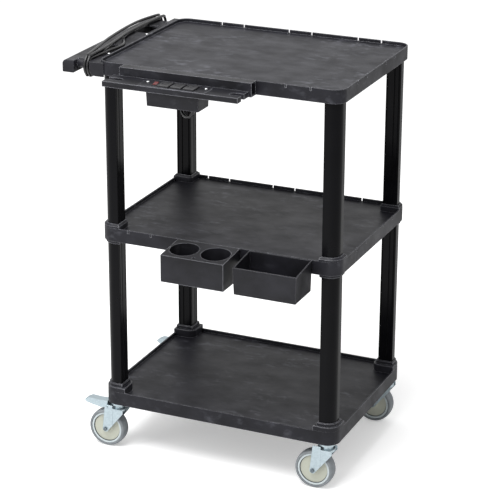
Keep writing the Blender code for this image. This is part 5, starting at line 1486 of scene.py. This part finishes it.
class CART_OT_handle(bpy.types.Operator):
    """The push handle and its screws"""
    bl_idname = "cart.handle"
    bl_label = "Handle"

    def execute(self, context):
        fine = shape_settings().corner_steps
        low = HANDLE_TOP - BAR_HEIGHT
        foot = BAR_FOOT_ROUND
        profile = [(BAR_INNER, low + foot), (BAR_INNER, HANDLE_TOP)]
        centre = (BAR_OUTER + BAR_ROUND, HANDLE_TOP - BAR_ROUND)
        profile += arc(centre, BAR_ROUND, 90, 180, fine)
        profile += arc((BAR_OUTER + foot, low + foot), foot, 180, 270, 4)
        profile += arc((BAR_INNER - foot, low + foot), foot, 270, 360, 4)[:-1]
        edge = shape_settings().edge * 1.6
        bar = softened(solid(profile, -HALF_WIDTH, HALF_WIDTH, True), edge)
        arm_end = HALF_WIDTH - ARM_INSET
        nose = arm_end - ARM_HEIGHT / 2
        inner = BAR_INNER - WEB_LAP
        outer = -HALF_LENGTH - GAP
        flange = outer - FLANGE_WIDTH
        ceiling = HANDLE_TOP - WEB_THICKNESS
        web = block((inner, -nose, ceiling), (outer, nose, HANDLE_TOP - SEAM))
        slab = block(
            (inner + SEAM, SEAM - nose, HANDLE_TOP - ARM_HEIGHT),
            (outer - SEAM, nose - SEAM, HANDLE_TOP - SLAB_DROP),
        )
        reach = arm_end - ARM_WIDTH
        pocket = rounded((BAR_INNER + SEAM, -reach), (flange, reach), HAND_HOLE_EDGE, fine)
        pocket = solid(pocket, HANDLE_TOP - ARM_HEIGHT - OVERRUN, ceiling)
        steps = [("+", web), ("+", shaped(slab, [("-", pocket)]))]
        for side in (-1, 1):
            steps.append(("+", self.nose(side, nose, inner + NOSE_INSET, outer - NOSE_INSET)))
        profile = [(0, ceiling - OVERRUN)]
        profile += [(grow, HANDLE_TOP - depth) for grow, depth in HAND_HOLE_FLARE]
        profile.append((HAND_HOLE_FLARE[-1][0], HANDLE_TOP + OVERRUN))
        for start, end in HAND_HOLES:
            rings = []
            for grow, height in profile:
                near = (BAR_INNER + HAND_HOLE_MARGINS[0] - grow, start - grow)
                far = (flange + HAND_HOLE_MARGINS[1] + grow, end + grow)
                rings.append((rounded(near, far, HAND_HOLE_EDGE + grow, fine), height))
            steps.append(("-", loft(rings)))
        bottom = BLOCK_TOP - BLOCK_HEIGHT
        end = flange + BLOCK_REACH
        side_view = [(end, bottom), (end, BLOCK_TOP), (flange, BLOCK_TOP)]
        side_view += arc((flange + BLOCK_ROUND, bottom + BLOCK_ROUND), BLOCK_ROUND, 180, 270, fine)
        for side in (-1, 1):
            span = sorted((side * (HALF_WIDTH - SEAM), side * (HALF_WIDTH - BLOCK_WIDTH)))
            steps.append(("+", softened(solid(side_view, *span, True), edge)))
        steps.append(("-", solid(tray_outline(-GAP), bottom - OVERRUN, BLOCK_TOP + OVERRUN)))
        for place in HANDLE_SCREWS:
            steps.append(("-", screw_hole(HANDLE_TOP, BLOCK_TOP, place)))
        piece("handle", shaped(bar, steps), finish("moulding"), "cart", ["push_handle"])
        for name, place in zip(("front", "back"), HANDLE_SCREWS):
            cross_screw(f"screw_{name}", place, HANDLE_TOP - SEAM, f"handle_screw_{name}")
        return {"FINISHED"}

    def nose(self, side, place, low, high):
        """The round outer side of an arm."""
        radius = ARM_HEIGHT / 2 - NOSE_INSET
        line = HANDLE_TOP - ARM_HEIGHT / 2
        outline = arc((place, line), radius, -90, 90, 16)
        outline += [(place - WEB_LAP, line + radius), (place - WEB_LAP, line - radius)]
        mesh = solid([(side * y, z) for y, z in outline], -high, -low, True)
        mesh.transform(Matrix.Rotation(math.pi / 2, 4, "Z"))
        return mesh


def cross_screw(name, place, seat, node):
    """A low round-headed screw with a cross recess."""
    seat += GAP
    brim = seat + SCREW_BRIM
    tip = seat - SCREW_LENGTH
    profile = [(SCREW_TIP, brim + SCREW_DOME)]
    for angle in (0.4, 0.8, 1.2, 1.5):
        height = brim + SCREW_DOME * math.cos(angle)
        profile.append((SCREW_HEAD_RADIUS * math.sin(angle), height))
    profile += [(SCREW_HEAD_RADIUS, seat), (SCREW_SHANK, seat)]
    profile += [(SCREW_SHANK, tip + SCREW_CHAMFER), (SCREW_TIP, tip)]
    steps = []
    for size in CROSS_SIZES:
        low = (place[0] - size[0] / 2, place[1] - size[1] / 2, seat + CROSS_FLOOR)
        steps.append(("-", block(low, (low[0] + size[0], low[1] + size[1], seat + OVERRUN))))
    mesh = shaped(lathe(profile, BORE_STEPS, (*place, 0)), steps)
    piece(name, mesh, finish("screw"), "cart", [node])


def caster_place(signs):
    """Where a corner's caster turns, on the floor."""
    return Vector((signs[0] * CASTER_PLACE[0], signs[1] * CASTER_PLACE[1], 0))


def hook_meshes(places, face, rim):
    """T-shaped hooks through the rim's notches."""
    seat = rim - NOTCH_DEPTH + GAP
    inner = -HALF_WIDTH + RIM_THICKNESS + GAP
    steps = []
    for place in places:
        low = (place - HOOK_WIDTH / 2, face - HOOK_HEAD_THICKNESS, seat)
        steps.append(("+", block(low, (place + HOOK_WIDTH / 2, inner + SEAM, seat + HOOK_RISE))))
        low = (place - HOOK_HEAD / 2, inner, seat + SEAM)
        high = (place + HOOK_HEAD / 2, inner + HOOK_HEAD_THICKNESS, seat + HOOK_RISE - SEAM)
        steps.append(("+", block(low, high)))
    return steps


def hook_places(span, turned_round):
    """The front rim's notches that a piece of this span covers."""
    sign = -1 if turned_round else 1
    places = []
    for step in (-1, 0, 1):
        for half in (-NOTCH_PAIR / 2, NOTCH_PAIR / 2):
            place = sign * (LONG_SIDE_SHIFT + step * LONG_SIDE_PITCH) + half
            if span[0] + HOOK_HEAD < place < span[1] - HOOK_HEAD:
                places.append(place)
    return places


class CART_OT_strip(bpy.types.Operator):
    """The power strip: bracket, panel, outlets, switch and box"""
    bl_idname = "cart.strip"
    bl_label = "Power strip"

    def execute(self, context):
        self.bracket()
        self.panel()
        self.outlets()
        self.switch()
        self.box()
        return {"FINISHED"}

    def windows(self, low, high):
        """Clearance cuts for the outlets."""
        half = (OUTLET_LENGTH / 2 + GAP, OUTLET_WIDTH / 2 + GAP)
        meshes = []
        for place in OUTLET_PLACES:
            corner = (place - half[0], OUTLET_LINE - half[1], low)
            meshes.append(block(corner, (place + half[0], OUTLET_LINE + half[1], high)))
        return gather(meshes)

    def bracket(self):
        """Hollow rail hooked on the rim, and the thick plate with forked ends."""
        front = -HALF_WIDTH
        face = front - GAP
        rail_front = front - RAIL_DEPTH
        rail_low = TOP_UNDER + SEAM
        rail = block((RAIL_SPAN[0], rail_front, rail_low), (RAIL_SPAN[1], face, TOP_RIM))
        slab = block(
            (PLATE_SPAN[0], front - PLATE_FRONT, PLATE_UNDER),
            (PLATE_SPAN[1], rail_front + RAIL_WALL / 2, PLATE_TOP),
        )
        steps = [("+", slab)]
        radius = (PRONG_CUT[1] - PRONG_CUT[0]) / 2
        line = front - (PRONG_CUT[0] + PRONG_CUT[1]) / 2
        for side, end, depth in zip((-1, 1), PLATE_SPAN, PRONG_DEPTHS):
            outline = arc((end - side * (depth - radius), line), radius, 90, 90 + 180 * side, 24)
            beyond = end + side * OVERRUN
            outline += [(beyond, line - radius), (beyond, line + radius)]
            steps.append(("-", solid(outline, PLATE_UNDER - OVERRUN, PLATE_TOP + OVERRUN)))
        rail = shaped(rail, steps, shape_settings().edge * 1.2, 3)
        steps = []
        steps.append(("-", block(
            (RAIL_SPAN[0] - OVERRUN, rail_front + RAIL_WALL, rail_low + RAIL_WALL),
            (RAIL_SPAN[1] + OVERRUN, face - RAIL_WALL, TOP_RIM - RAIL_WALL),
        )))
        steps.append(("-", block(
            (PANEL_SPAN[0] - GAP, front - PANEL_LAP[1] - GAP, PANEL_SEAT - GAP),
            (PANEL_SPAN[1] + GAP, front - PANEL_LAP[0] + GAP, PLATE_TOP + OVERRUN),
        )))
        steps.append(("-", block(
            (BOX_LOW[0] + BOX_WALL, BOX_LOW[1] + BOX_WALL, PLATE_UNDER - OVERRUN),
            (BOX_HIGH[0] - BOX_WALL, front - PANEL_LAP[0] - PANEL_LEDGE, PANEL_SEAT),
        )))
        steps.append(("-", self.windows(PANEL_TOP - OUTLET_BODY - GAP, PLATE_TOP)))
        for place in PANEL_SCREWS:
            steps.append(("-", screw_hole(PLATE_TOP, PLATE_TOP, place)))
        steps += hook_meshes(hook_places(RAIL_SPAN, False), face, TOP_RIM)
        piece("bracket", shaped(rail, steps), finish("moulding"), "cart", ["strip_bracket"])

    def panel(self):
        """Cover panel round the outlets and the switch."""
        front = -HALF_WIDTH
        low = (PANEL_SPAN[0], front - PANEL_LAP[1], PANEL_SEAT)
        slab = block(low, (PANEL_SPAN[1], front - PANEL_LAP[0], PANEL_TOP))
        half = (SWITCH_LENGTH / 2 + GAP, SWITCH_WIDTH / 2 + GAP)
        window = block(
            (SWITCH_PLACE - half[0], OUTLET_LINE - half[1], PANEL_SEAT - OVERRUN),
            (SWITCH_PLACE + half[0], OUTLET_LINE + half[1], PANEL_TOP + OVERRUN),
        )
        steps = [("-", self.windows(PANEL_SEAT - OVERRUN, PANEL_TOP + OVERRUN)), ("-", window)]
        for place in PANEL_SCREWS:
            hole = pin(SCREW_HOLE_RADIUS, PANEL_SEAT - OVERRUN, PANEL_TOP + OVERRUN, (*place, 0))
            steps.append(("-", hole))
        mesh = shaped(slab, steps, shape_settings().fine_edge)
        piece("panel", mesh, finish("moulding"), "cart", ["strip_panel"])
        for name, place in zip(("left", "right"), PANEL_SCREWS):
            cross_screw(f"screw_{name}", place, PANEL_TOP, f"panel_screw_{name}")

    def outlets(self):
        """Three outlets: a raised face with two blade slots and a round earth hole."""
        top = PANEL_TOP + OUTLET_RISE
        half = (OUTLET_LENGTH / 2, OUTLET_WIDTH / 2)
        for number, place in enumerate(OUTLET_PLACES, start=1):
            low = (place - half[0], OUTLET_LINE - half[1])
            outline = rounded(low, (place + half[0], OUTLET_LINE + half[1]), OUTLET_CORNER, 6)
            body = softened(solid(outline, PANEL_TOP - OUTLET_BODY, top), OUTLET_EDGE)
            steps = []
            for side, length in zip((-1, 1), SLOT_LENGTHS):
                middle = OUTLET_LINE + side * SLOT_SPACING / 2
                shift = place + SLOT_OFFSET
                low = (shift - length / 2, middle - SLOT_WIDTH / 2, top - SLOT_DEPTH)
                high = (shift + length / 2, middle + SLOT_WIDTH / 2, top + OVERRUN)
                steps.append(("-", block(low, high)))
            centre = (place - EARTH_OFFSET, OUTLET_LINE, 0)
            earth = rod(EARTH_DIAMETER / 2, top - SLOT_DEPTH, top + OVERRUN, centre, BORE_STEPS)
            mesh = shaped(body, [*steps, ("-", earth)])
            piece(f"outlet_face_{number}", mesh, finish("outlet"), "cart", [f"outlet_{number}"])

    def switch(self):
        """Rocker switch in its frame."""
        half = (SWITCH_LENGTH / 2, SWITCH_WIDTH / 2)
        opening = (half[0] - SWITCH_FRAME, half[1] - SWITCH_FRAME)
        top = PANEL_TOP + SWITCH_RISE
        low = (SWITCH_PLACE - half[0], OUTLET_LINE - half[1], PANEL_SEAT - SWITCH_BODY)
        body = block(low, (SWITCH_PLACE + half[0], OUTLET_LINE + half[1], top))
        hole = block(
            (SWITCH_PLACE - opening[0], OUTLET_LINE - opening[1], low[2] - OVERRUN),
            (SWITCH_PLACE + opening[0], OUTLET_LINE + opening[1], top + OVERRUN),
        )
        mesh = shaped(body, [("-", hole)], CRISP_EDGE)
        piece("switch_surround", mesh, finish("outlet"), "cart", ["switch_frame"])
        reach = opening[1] - ROCKER_GAP
        hollow = ROCKER_RISE - ROCKER_CREASE * ROCKER_HOLLOW
        outline = [
            (-reach, ROCKER_RISE),
            (-reach + ROCKER_CREASE, -ROCKER_DEPTH),
            (reach - ROCKER_CREASE, -ROCKER_DEPTH),
            (reach, ROCKER_RISE),
            (reach / 2, hollow),
            (0, ROCKER_RISE - ROCKER_CREASE),
            (-reach / 2, hollow),
        ]
        width = opening[0] - GAP
        mesh = shaped(solid(outline, -width, width, True), [], CRISP_EDGE)
        mesh.transform(Matrix.Rotation(math.pi / 2, 4, "Z"))
        mesh.transform(Matrix.Rotation(ROCKER_TILT, 4, "X"))
        mesh.transform(Matrix.Translation((SWITCH_PLACE, OUTLET_LINE, PANEL_TOP)))
        piece("rocker", mesh, finish("rocker"), "rocker", ["switch_rocker"], 50)

    def box(self):
        """The box that hangs under the strip."""
        body = shaped(tapered(BOX_LOW, BOX_HIGH, BOX_TAPER, 0), [], BOX_EDGE, 3)
        inside = tapered(
            tuple(value + BOX_WALL for value in BOX_LOW),
            (BOX_HIGH[0] - BOX_WALL, BOX_HIGH[1] - BOX_WALL, BOX_HIGH[2] + BOX_WALL),
            BOX_TAPER, 0,
        )
        span = (BOX_LOW[2] - OVERRUN, BOX_LOW[2] + OVERRUN)
        hole = rod(RELIEF_HOLE, *span, (*RELIEF_PLACE, 0), BORE_STEPS)
        mesh = shaped(body, [("-", inside), ("-", hole)])
        piece("wiring_box", mesh, finish("moulding"), "cart", ["strip_box"])


class CART_OT_holders(bpy.types.Operator):
    """The cup holder and the storage bin"""
    bl_idname = "cart.holders"
    bl_label = "Holders"

    def execute(self, context):
        edge = shape_settings().edge
        low = (CUP_SPAN[0], HOLDER_FACE, CUP_FOOT)
        high = (CUP_SPAN[1], HOLDER_BACK, HOLDER_TOP)
        wall = HOLDER_WALL
        pocket = tapered(
            (low[0] + wall, low[1] + wall, low[2] - OVERRUN),
            (high[0] - wall, high[1] - wall, high[2] - wall),
            0, CUP_DROP,
        )
        outer = CUP_DIAMETER / 2 + CUP_WALL
        top = high[2] + OVERRUN
        columns = []
        wells = []
        for place in CUP_PLACES:
            columns.append(rod(outer, low[2] - 2 * OVERRUN, top, (*place, 0), WELL_STEPS))
            well = rod(CUP_DIAMETER / 2, low[2] + wall, top, (*place, 0), WELL_STEPS)
            wells.append(("-", well))
        pocket = shaped(pocket, [("-", gather(columns))])
        place = (*DRAIN_PLACE, 0)
        drain = rod(DRAIN_DIAMETER / 2, high[2] - OVERRUN, top, place, BORE_STEPS)
        steps = [("-", pocket), *wells, ("-", drain)]
        body = shaped(tapered(low, high, 0, CUP_DROP), steps, edge * 1.4, 3)
        hooks = hook_meshes(hook_places(CUP_SPAN, True), HOLDER_BACK, MIDDLE_RIM)
        piece("cup_tray", shaped(body, hooks), finish("moulding"), "cups", ["cup_holder"])

        low = (BIN_SPAN[0], HOLDER_FACE, BIN_FOOT)
        high = (BIN_SPAN[1], HOLDER_BACK, HOLDER_TOP)
        inside = tapered(
            tuple(value + wall for value in low),
            (high[0] - wall, high[1] - wall, high[2] + OVERRUN),
            BIN_TAPER, 0,
        )
        body = tapered(low, high, BIN_TAPER, BIN_DROP)
        body = shaped(body, [("-", inside)], edge * 1.2, 3)
        hooks = hook_meshes(hook_places(BIN_SPAN, True), HOLDER_BACK, MIDDLE_RIM)
        piece("open_bin", shaped(body, hooks), finish("moulding"), "bin", ["storage_bin"])
        return {"FINISHED"}


def tangent_angle(centre, radius, point, side):
    """Where a line from a point touches a circle, in degrees; side picks one of the two."""
    slope = math.atan2(point[1] - centre[1], point[0] - centre[0])
    reach = math.hypot(point[0] - centre[0], point[1] - centre[1])
    return math.degrees(slope + side * math.acos(radius / reach))


class CART_OT_casters(bpy.types.Operator):
    """Four swivel casters, two of them with brakes"""
    bl_idname = "cart.casters"
    bl_label = "Casters"

    def execute(self, context):
        for corner, signs in CORNERS.items():
            place = caster_place(signs)
            braked = signs[0] < 0
            self.mount(corner, place)
            self.fork(corner, place, braked)
            self.bolt(corner, place)
            self.wheel(corner, place)
            if braked:
                self.pedal(corner, place)
        return {"FINISHED"}

    def mount(self, corner, place):
        """Stem, seat, domed cap and kingpin."""
        steps = shape_settings().round_steps
        seat = CASTER_HEIGHT + BLOCK_RISE - GAP
        cap_low = FORK_TOP + CAP_GAP
        plate_low = FORK_TOP - FORK_PLATE - GAP
        tip = seat + STEM_LENGTH
        profile = [(STEM_RADIUS - CRISP_CHAMFER, tip), (STEM_RADIUS, tip - CRISP_CHAMFER)]
        profile += [(STEM_RADIUS, seat), (SEAT_RADIUS, seat), (SEAT_RADIUS, seat - SEAT_HEIGHT)]
        centre = (CAP_RADIUS - CAP_ROUND, seat - SEAT_HEIGHT - CAP_ROUND)
        profile += arc(centre, CAP_ROUND, 90, 0, 8)
        profile += [(CAP_RADIUS, cap_low + CAP_CHAMFER), (CAP_RADIUS - CAP_CHAMFER, cap_low)]
        profile += [(KINGPIN_RADIUS, cap_low), (KINGPIN_RADIUS, plate_low)]
        foot = plate_low - KINGPIN_HEAD_HEIGHT
        profile += [(KINGPIN_HEAD, plate_low), (KINGPIN_HEAD, foot + KINGPIN_CHAMFER[1])]
        profile.append((KINGPIN_HEAD - KINGPIN_CHAMFER[0], foot))
        mesh = lathe(profile, steps, place)
        piece(f"swivel_cap_{corner}", mesh, finish("zinc"), "cart", [f"caster_mount_{corner}"])

    def leg(self):
        """Side views of a fork leg and of the strap that stands out from it."""
        axle = (-TRAIL, WHEEL_RADIUS)
        top = FORK_TOP - SEAM
        shoulder = (axle[0] + LEG_REACH, top - LEG_SHOULDER)
        back = axle[0] - STRAP_BACK
        front = back + STRAP_WIDTH
        high = top + STRAP_RISE
        start = tangent_angle(axle, LEG_HALF, (back, high), 1)
        end = tangent_angle(axle, LEG_HALF, shoulder, -1)
        boss = arc(axle, LEG_HALF, start, 360 + end, 24)
        share = (front - boss[-1][0]) / (shoulder[0] - boss[-1][0])
        crossing = boss[-1][1] + (shoulder[1] - boss[-1][1]) * share
        strap = boss + [(front, crossing), (front, high), (back, high)]
        web = boss + [shoulder, (shoulder[0], top)]
        web += [(front - SEAM, top), (front - SEAM, high - SEAM)]
        web.append((back + SEAM, high - SEAM))
        return web, strap

    def fork(self, corner, place, braked):
        """Pressed steel fork: a deep crown with its race, webs, and straps down to the axle."""
        radius = FORK_PLATE_RADIUS
        edge = shape_settings().fine_edge
        outline = [(-radius, -radius)] + arc((0, 0), radius, -90, 90, 32) + [(-radius, radius)]
        web, strap = self.leg()
        outer = LEG_INNER + LEG_THICKNESS
        steps = []
        for side in (-1, 1):
            span = sorted((side * LEG_INNER, side * (outer - WEB_SINK)))
            steps.append(("+", softened(solid(web, *span, True), edge, 2)))
            span = sorted((side * (LEG_INNER + SEAM), side * outer))
            steps.append(("+", softened(solid(strap, *span, True), edge * 1.8)))
        middle = (0, 0, 0)
        race = rod(RACE_RADIUS, FORK_TOP - RACE_SINK, FORK_TOP + CAP_GAP - GAP, middle, RACE_STEPS)
        span = (FORK_TOP - OVERRUN, FORK_TOP + OVERRUN)
        bore = rod(KINGPIN_RADIUS + GAP, *span, middle, BORE_STEPS)
        reach = LEG_INNER + OVERRUN
        hole = rod(AXLE_RADIUS + GAP, -reach, reach, AXLE_PLACE, BORE_STEPS, "Y")
        steps += [("+", race), ("-", bore), ("-", hole)]
        if braked:
            pivot = (PEDAL_PIVOT[0], 0, PEDAL_PIVOT[1])
            steps.append(("-", pin(PEDAL_PIN_RADIUS + GAP, -reach, reach, pivot, "Y")))
        crown = softened(solid(outline, FORK_TOP - FORK_PLATE, FORK_TOP), edge * 4, 4)
        mesh = shaped(crown, steps)
        mesh.transform(Matrix.Translation(place))
        piece(f"fork_{corner}", mesh, finish("zinc"), f"swivel_{corner}", [f"caster_fork_{corner}"])

    def bolt(self, corner, place):
        """Axle bolt with a chamfered six-sided head and nut."""
        end = LEG_INNER + LEG_THICKNESS + GAP
        steps = []
        for side in (-1, 1):
            span = sorted((side * end, side * (end + BOLT_HEAD_HEIGHT)))
            head = rod(BOLT_HEAD, *span, (0, 0, 0), 6, "Y")
            steps.append(("+", shaped(head, [], BOLT_CHAMFER)))
        shaft = rod(AXLE_RADIUS, -end - BOLT_END, end + BOLT_END, (0, 0, 0), BORE_STEPS, "Y")
        mesh = shaped(shaft, steps)
        mesh.transform(Matrix.Translation(place + AXLE_PLACE))
        node = f"caster_axle_{corner}"
        piece(f"axle_bolt_{corner}", mesh, finish("bolt"), f"swivel_{corner}", [node])

    def wheel(self, corner, place):
        """Dished wheel with a raised ring, and its tyre."""
        steps = shape_settings().round_steps
        centre = place + AXLE_PLACE
        boss = LEG_INNER - GAP
        upper = [(AXLE_RADIUS + GAP, boss), (HUB_RADIUS - 0.0022, boss)]
        upper += [(HUB_RADIUS - 0.0012, boss - 0.0006), (HUB_RADIUS, DISC_HALF + 0.0020)]
        upper += [(HUB_RADIUS + 0.0014, DISC_HALF + 0.0004)]
        upper += [(HUB_RADIUS + 0.0040, DISC_HALF - 0.0008), (0.0280, DISC_HALF - 0.0012)]
        upper += [(RING_INNER - 0.0026, DISC_HALF - 0.0008)]
        upper += [(RING_INNER - GROOVE_SPAN[0], DISC_HALF - 0.0012)]
        upper += [(RING_INNER - 0.0008, DISC_HALF - 0.0024)]
        upper += [(RING_INNER - 0.0002, DISC_HALF - 0.0024)]
        upper += [(RING_INNER, RING_HALF - 0.0010), (RING_INNER + 0.0009, RING_HALF)]
        upper += [(TYRE_BORE - 0.0014, RING_HALF), (TYRE_BORE - GAP, RING_HALF - 0.0010)]
        profile = upper + [(radius, -height) for radius, height in reversed(upper)]
        mesh = lathe(profile, steps, centre, "Y", True)
        body = f"rolling_wheel_{corner}"
        wheel = piece(f"wheel_centre_{corner}", mesh, finish("wheel"), body, [f"wheel_{corner}"])
        wheel.data.materials.append(finish("ring"))
        wheel.data.materials.append(finish("groove"))
        hub = centre + SHIFT
        for face in wheel.data.polygons:
            offset = face.center - hub
            radius = math.hypot(offset.x, offset.z)
            if radius > RING_INNER - GROOVE_SPAN[1]:
                face.material_index = 1
            elif radius > RING_INNER - GROOVE_SPAN[0]:
                face.material_index = 2
        half = TYRE_HALF
        upper = [(TYRE_BORE, RING_HALF - 0.002), (TYRE_BORE, half - 0.0008)]
        upper.append((TYRE_BORE + 0.0010, half))
        shoulder = (WHEEL_RADIUS - SHOULDER_INSET, half - TYRE_SHOULDER)
        upper += arc(shoulder, TYRE_SHOULDER, 90, 12, 8)
        upper.append((WHEEL_RADIUS - CROWN_FALL, half - 0.0085))
        lower = [(radius, -height) for radius, height in reversed(upper)]
        profile = [*upper, (WHEEL_RADIUS, 0), *lower]
        mesh = lathe(profile, steps, centre, "Y", True)
        piece(f"rubber_tyre_{corner}", mesh, finish("tyre"), body, [f"tyre_{corner}"])

    def pedal(self, corner, place):
        """Pressed brake pedal with ribs across its tread, on its pin."""
        outline = [(x - PEDAL_PIVOT[0], z - PEDAL_PIVOT[1]) for x, z in PEDAL_OUTLINE]
        half = PEDAL_WIDTH / 2
        body = solid(outline, -half, half, True)
        sheet = PEDAL_SHEET
        pocket = [(x, z - sheet) for x, z in outline[1:4]]
        pocket[0] = (pocket[0][0] - sheet, pocket[0][1])
        pocket.append((outline[4][0] + sheet, outline[4][1]))
        pocket += [(outline[4][0] + sheet, -OVERRUN), (outline[1][0] - sheet, -OVERRUN)]
        steps = [("-", solid(pocket, sheet - half, half - sheet, True))]
        boss = LEG_INNER - GAP
        steps.append(("+", rod(PEDAL_BOSS, -boss, boss, (0, 0, 0), BORE_STEPS, "Y")))
        reach = LEG_INNER + OVERRUN
        steps.append(("-", pin(PEDAL_PIN_RADIUS + GAP, -reach, reach, (0, 0, 0), "Y")))
        start = Vector((outline[3][0], 0, outline[3][1]))
        step = (Vector((outline[4][0], 0, outline[4][1])) - start) / 5
        size = (PEDAL_RIB, PEDAL_WIDTH - PEDAL_RIB_MARGIN, PEDAL_RIB)
        steps.append(("+", block_row(PEDAL_RIBS, start + step, step, size)))
        mesh = shaped(body, steps, shape_settings().fine_edge)
        pivot = place + Vector((PEDAL_PIVOT[0], 0, PEDAL_PIVOT[1]))
        mesh.transform(Matrix.Translation(pivot))
        node = f"brake_pedal_{corner}"
        piece(f"brake_lever_{corner}", mesh, finish("zinc"), f"pedal_{corner}", [node])
        repaint(f"pedal_pin_{corner}", "zinc")


OPERATORS = (
    CART_OT_stage,
    CART_OT_cord,
    CART_OT_trays,
    CART_OT_posts,
    CART_OT_handle,
    CART_OT_strip,
    CART_OT_holders,
    CART_OT_casters,
)
GROUPS = (CartShape, CartFinish, CartStage)


class CART_PT_panel(bpy.types.Panel):
    """The cart's settings and steps in the sidebar"""
    bl_label = "Audio visual cart"
    bl_idname = "CART_PT_panel"
    bl_space_type = "VIEW_3D"
    bl_region_type = "UI"
    bl_category = "Cart"

    def draw(self, context):
        layout = self.layout
        scene = context.scene
        for group in (scene.cart_shape, scene.cart_finish, scene.cart_stage):
            box = layout.box()
            for name in group.__annotations__:
                box.prop(group, name)
        for operator in OPERATORS:
            layout.operator(operator.bl_idname)


def register():
    """Add the classes and the scene's settings."""
    for item in (*GROUPS, *OPERATORS, CART_PT_panel):
        bpy.utils.register_class(item)
    bpy.types.Scene.cart_shape = bpy.props.PointerProperty(type=CartShape)
    bpy.types.Scene.cart_finish = bpy.props.PointerProperty(type=CartFinish)
    bpy.types.Scene.cart_stage = bpy.props.PointerProperty(type=CartStage)


def unregister():
    """Take them away again."""
    del bpy.types.Scene.cart_stage
    del bpy.types.Scene.cart_finish
    del bpy.types.Scene.cart_shape
    for item in reversed((*GROUPS, *OPERATORS, CART_PT_panel)):
        bpy.utils.unregister_class(item)


def main():
    """Build everything."""
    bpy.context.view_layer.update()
    register()
    bpy.ops.cart.stage()
    bpy.ops.cart.cord()
    bpy.ops.cart.trays()
    bpy.ops.cart.posts()
    bpy.ops.cart.handle()
    bpy.ops.cart.strip()
    bpy.ops.cart.holders()
    bpy.ops.cart.casters()


if __name__ == "__main__":
    main()
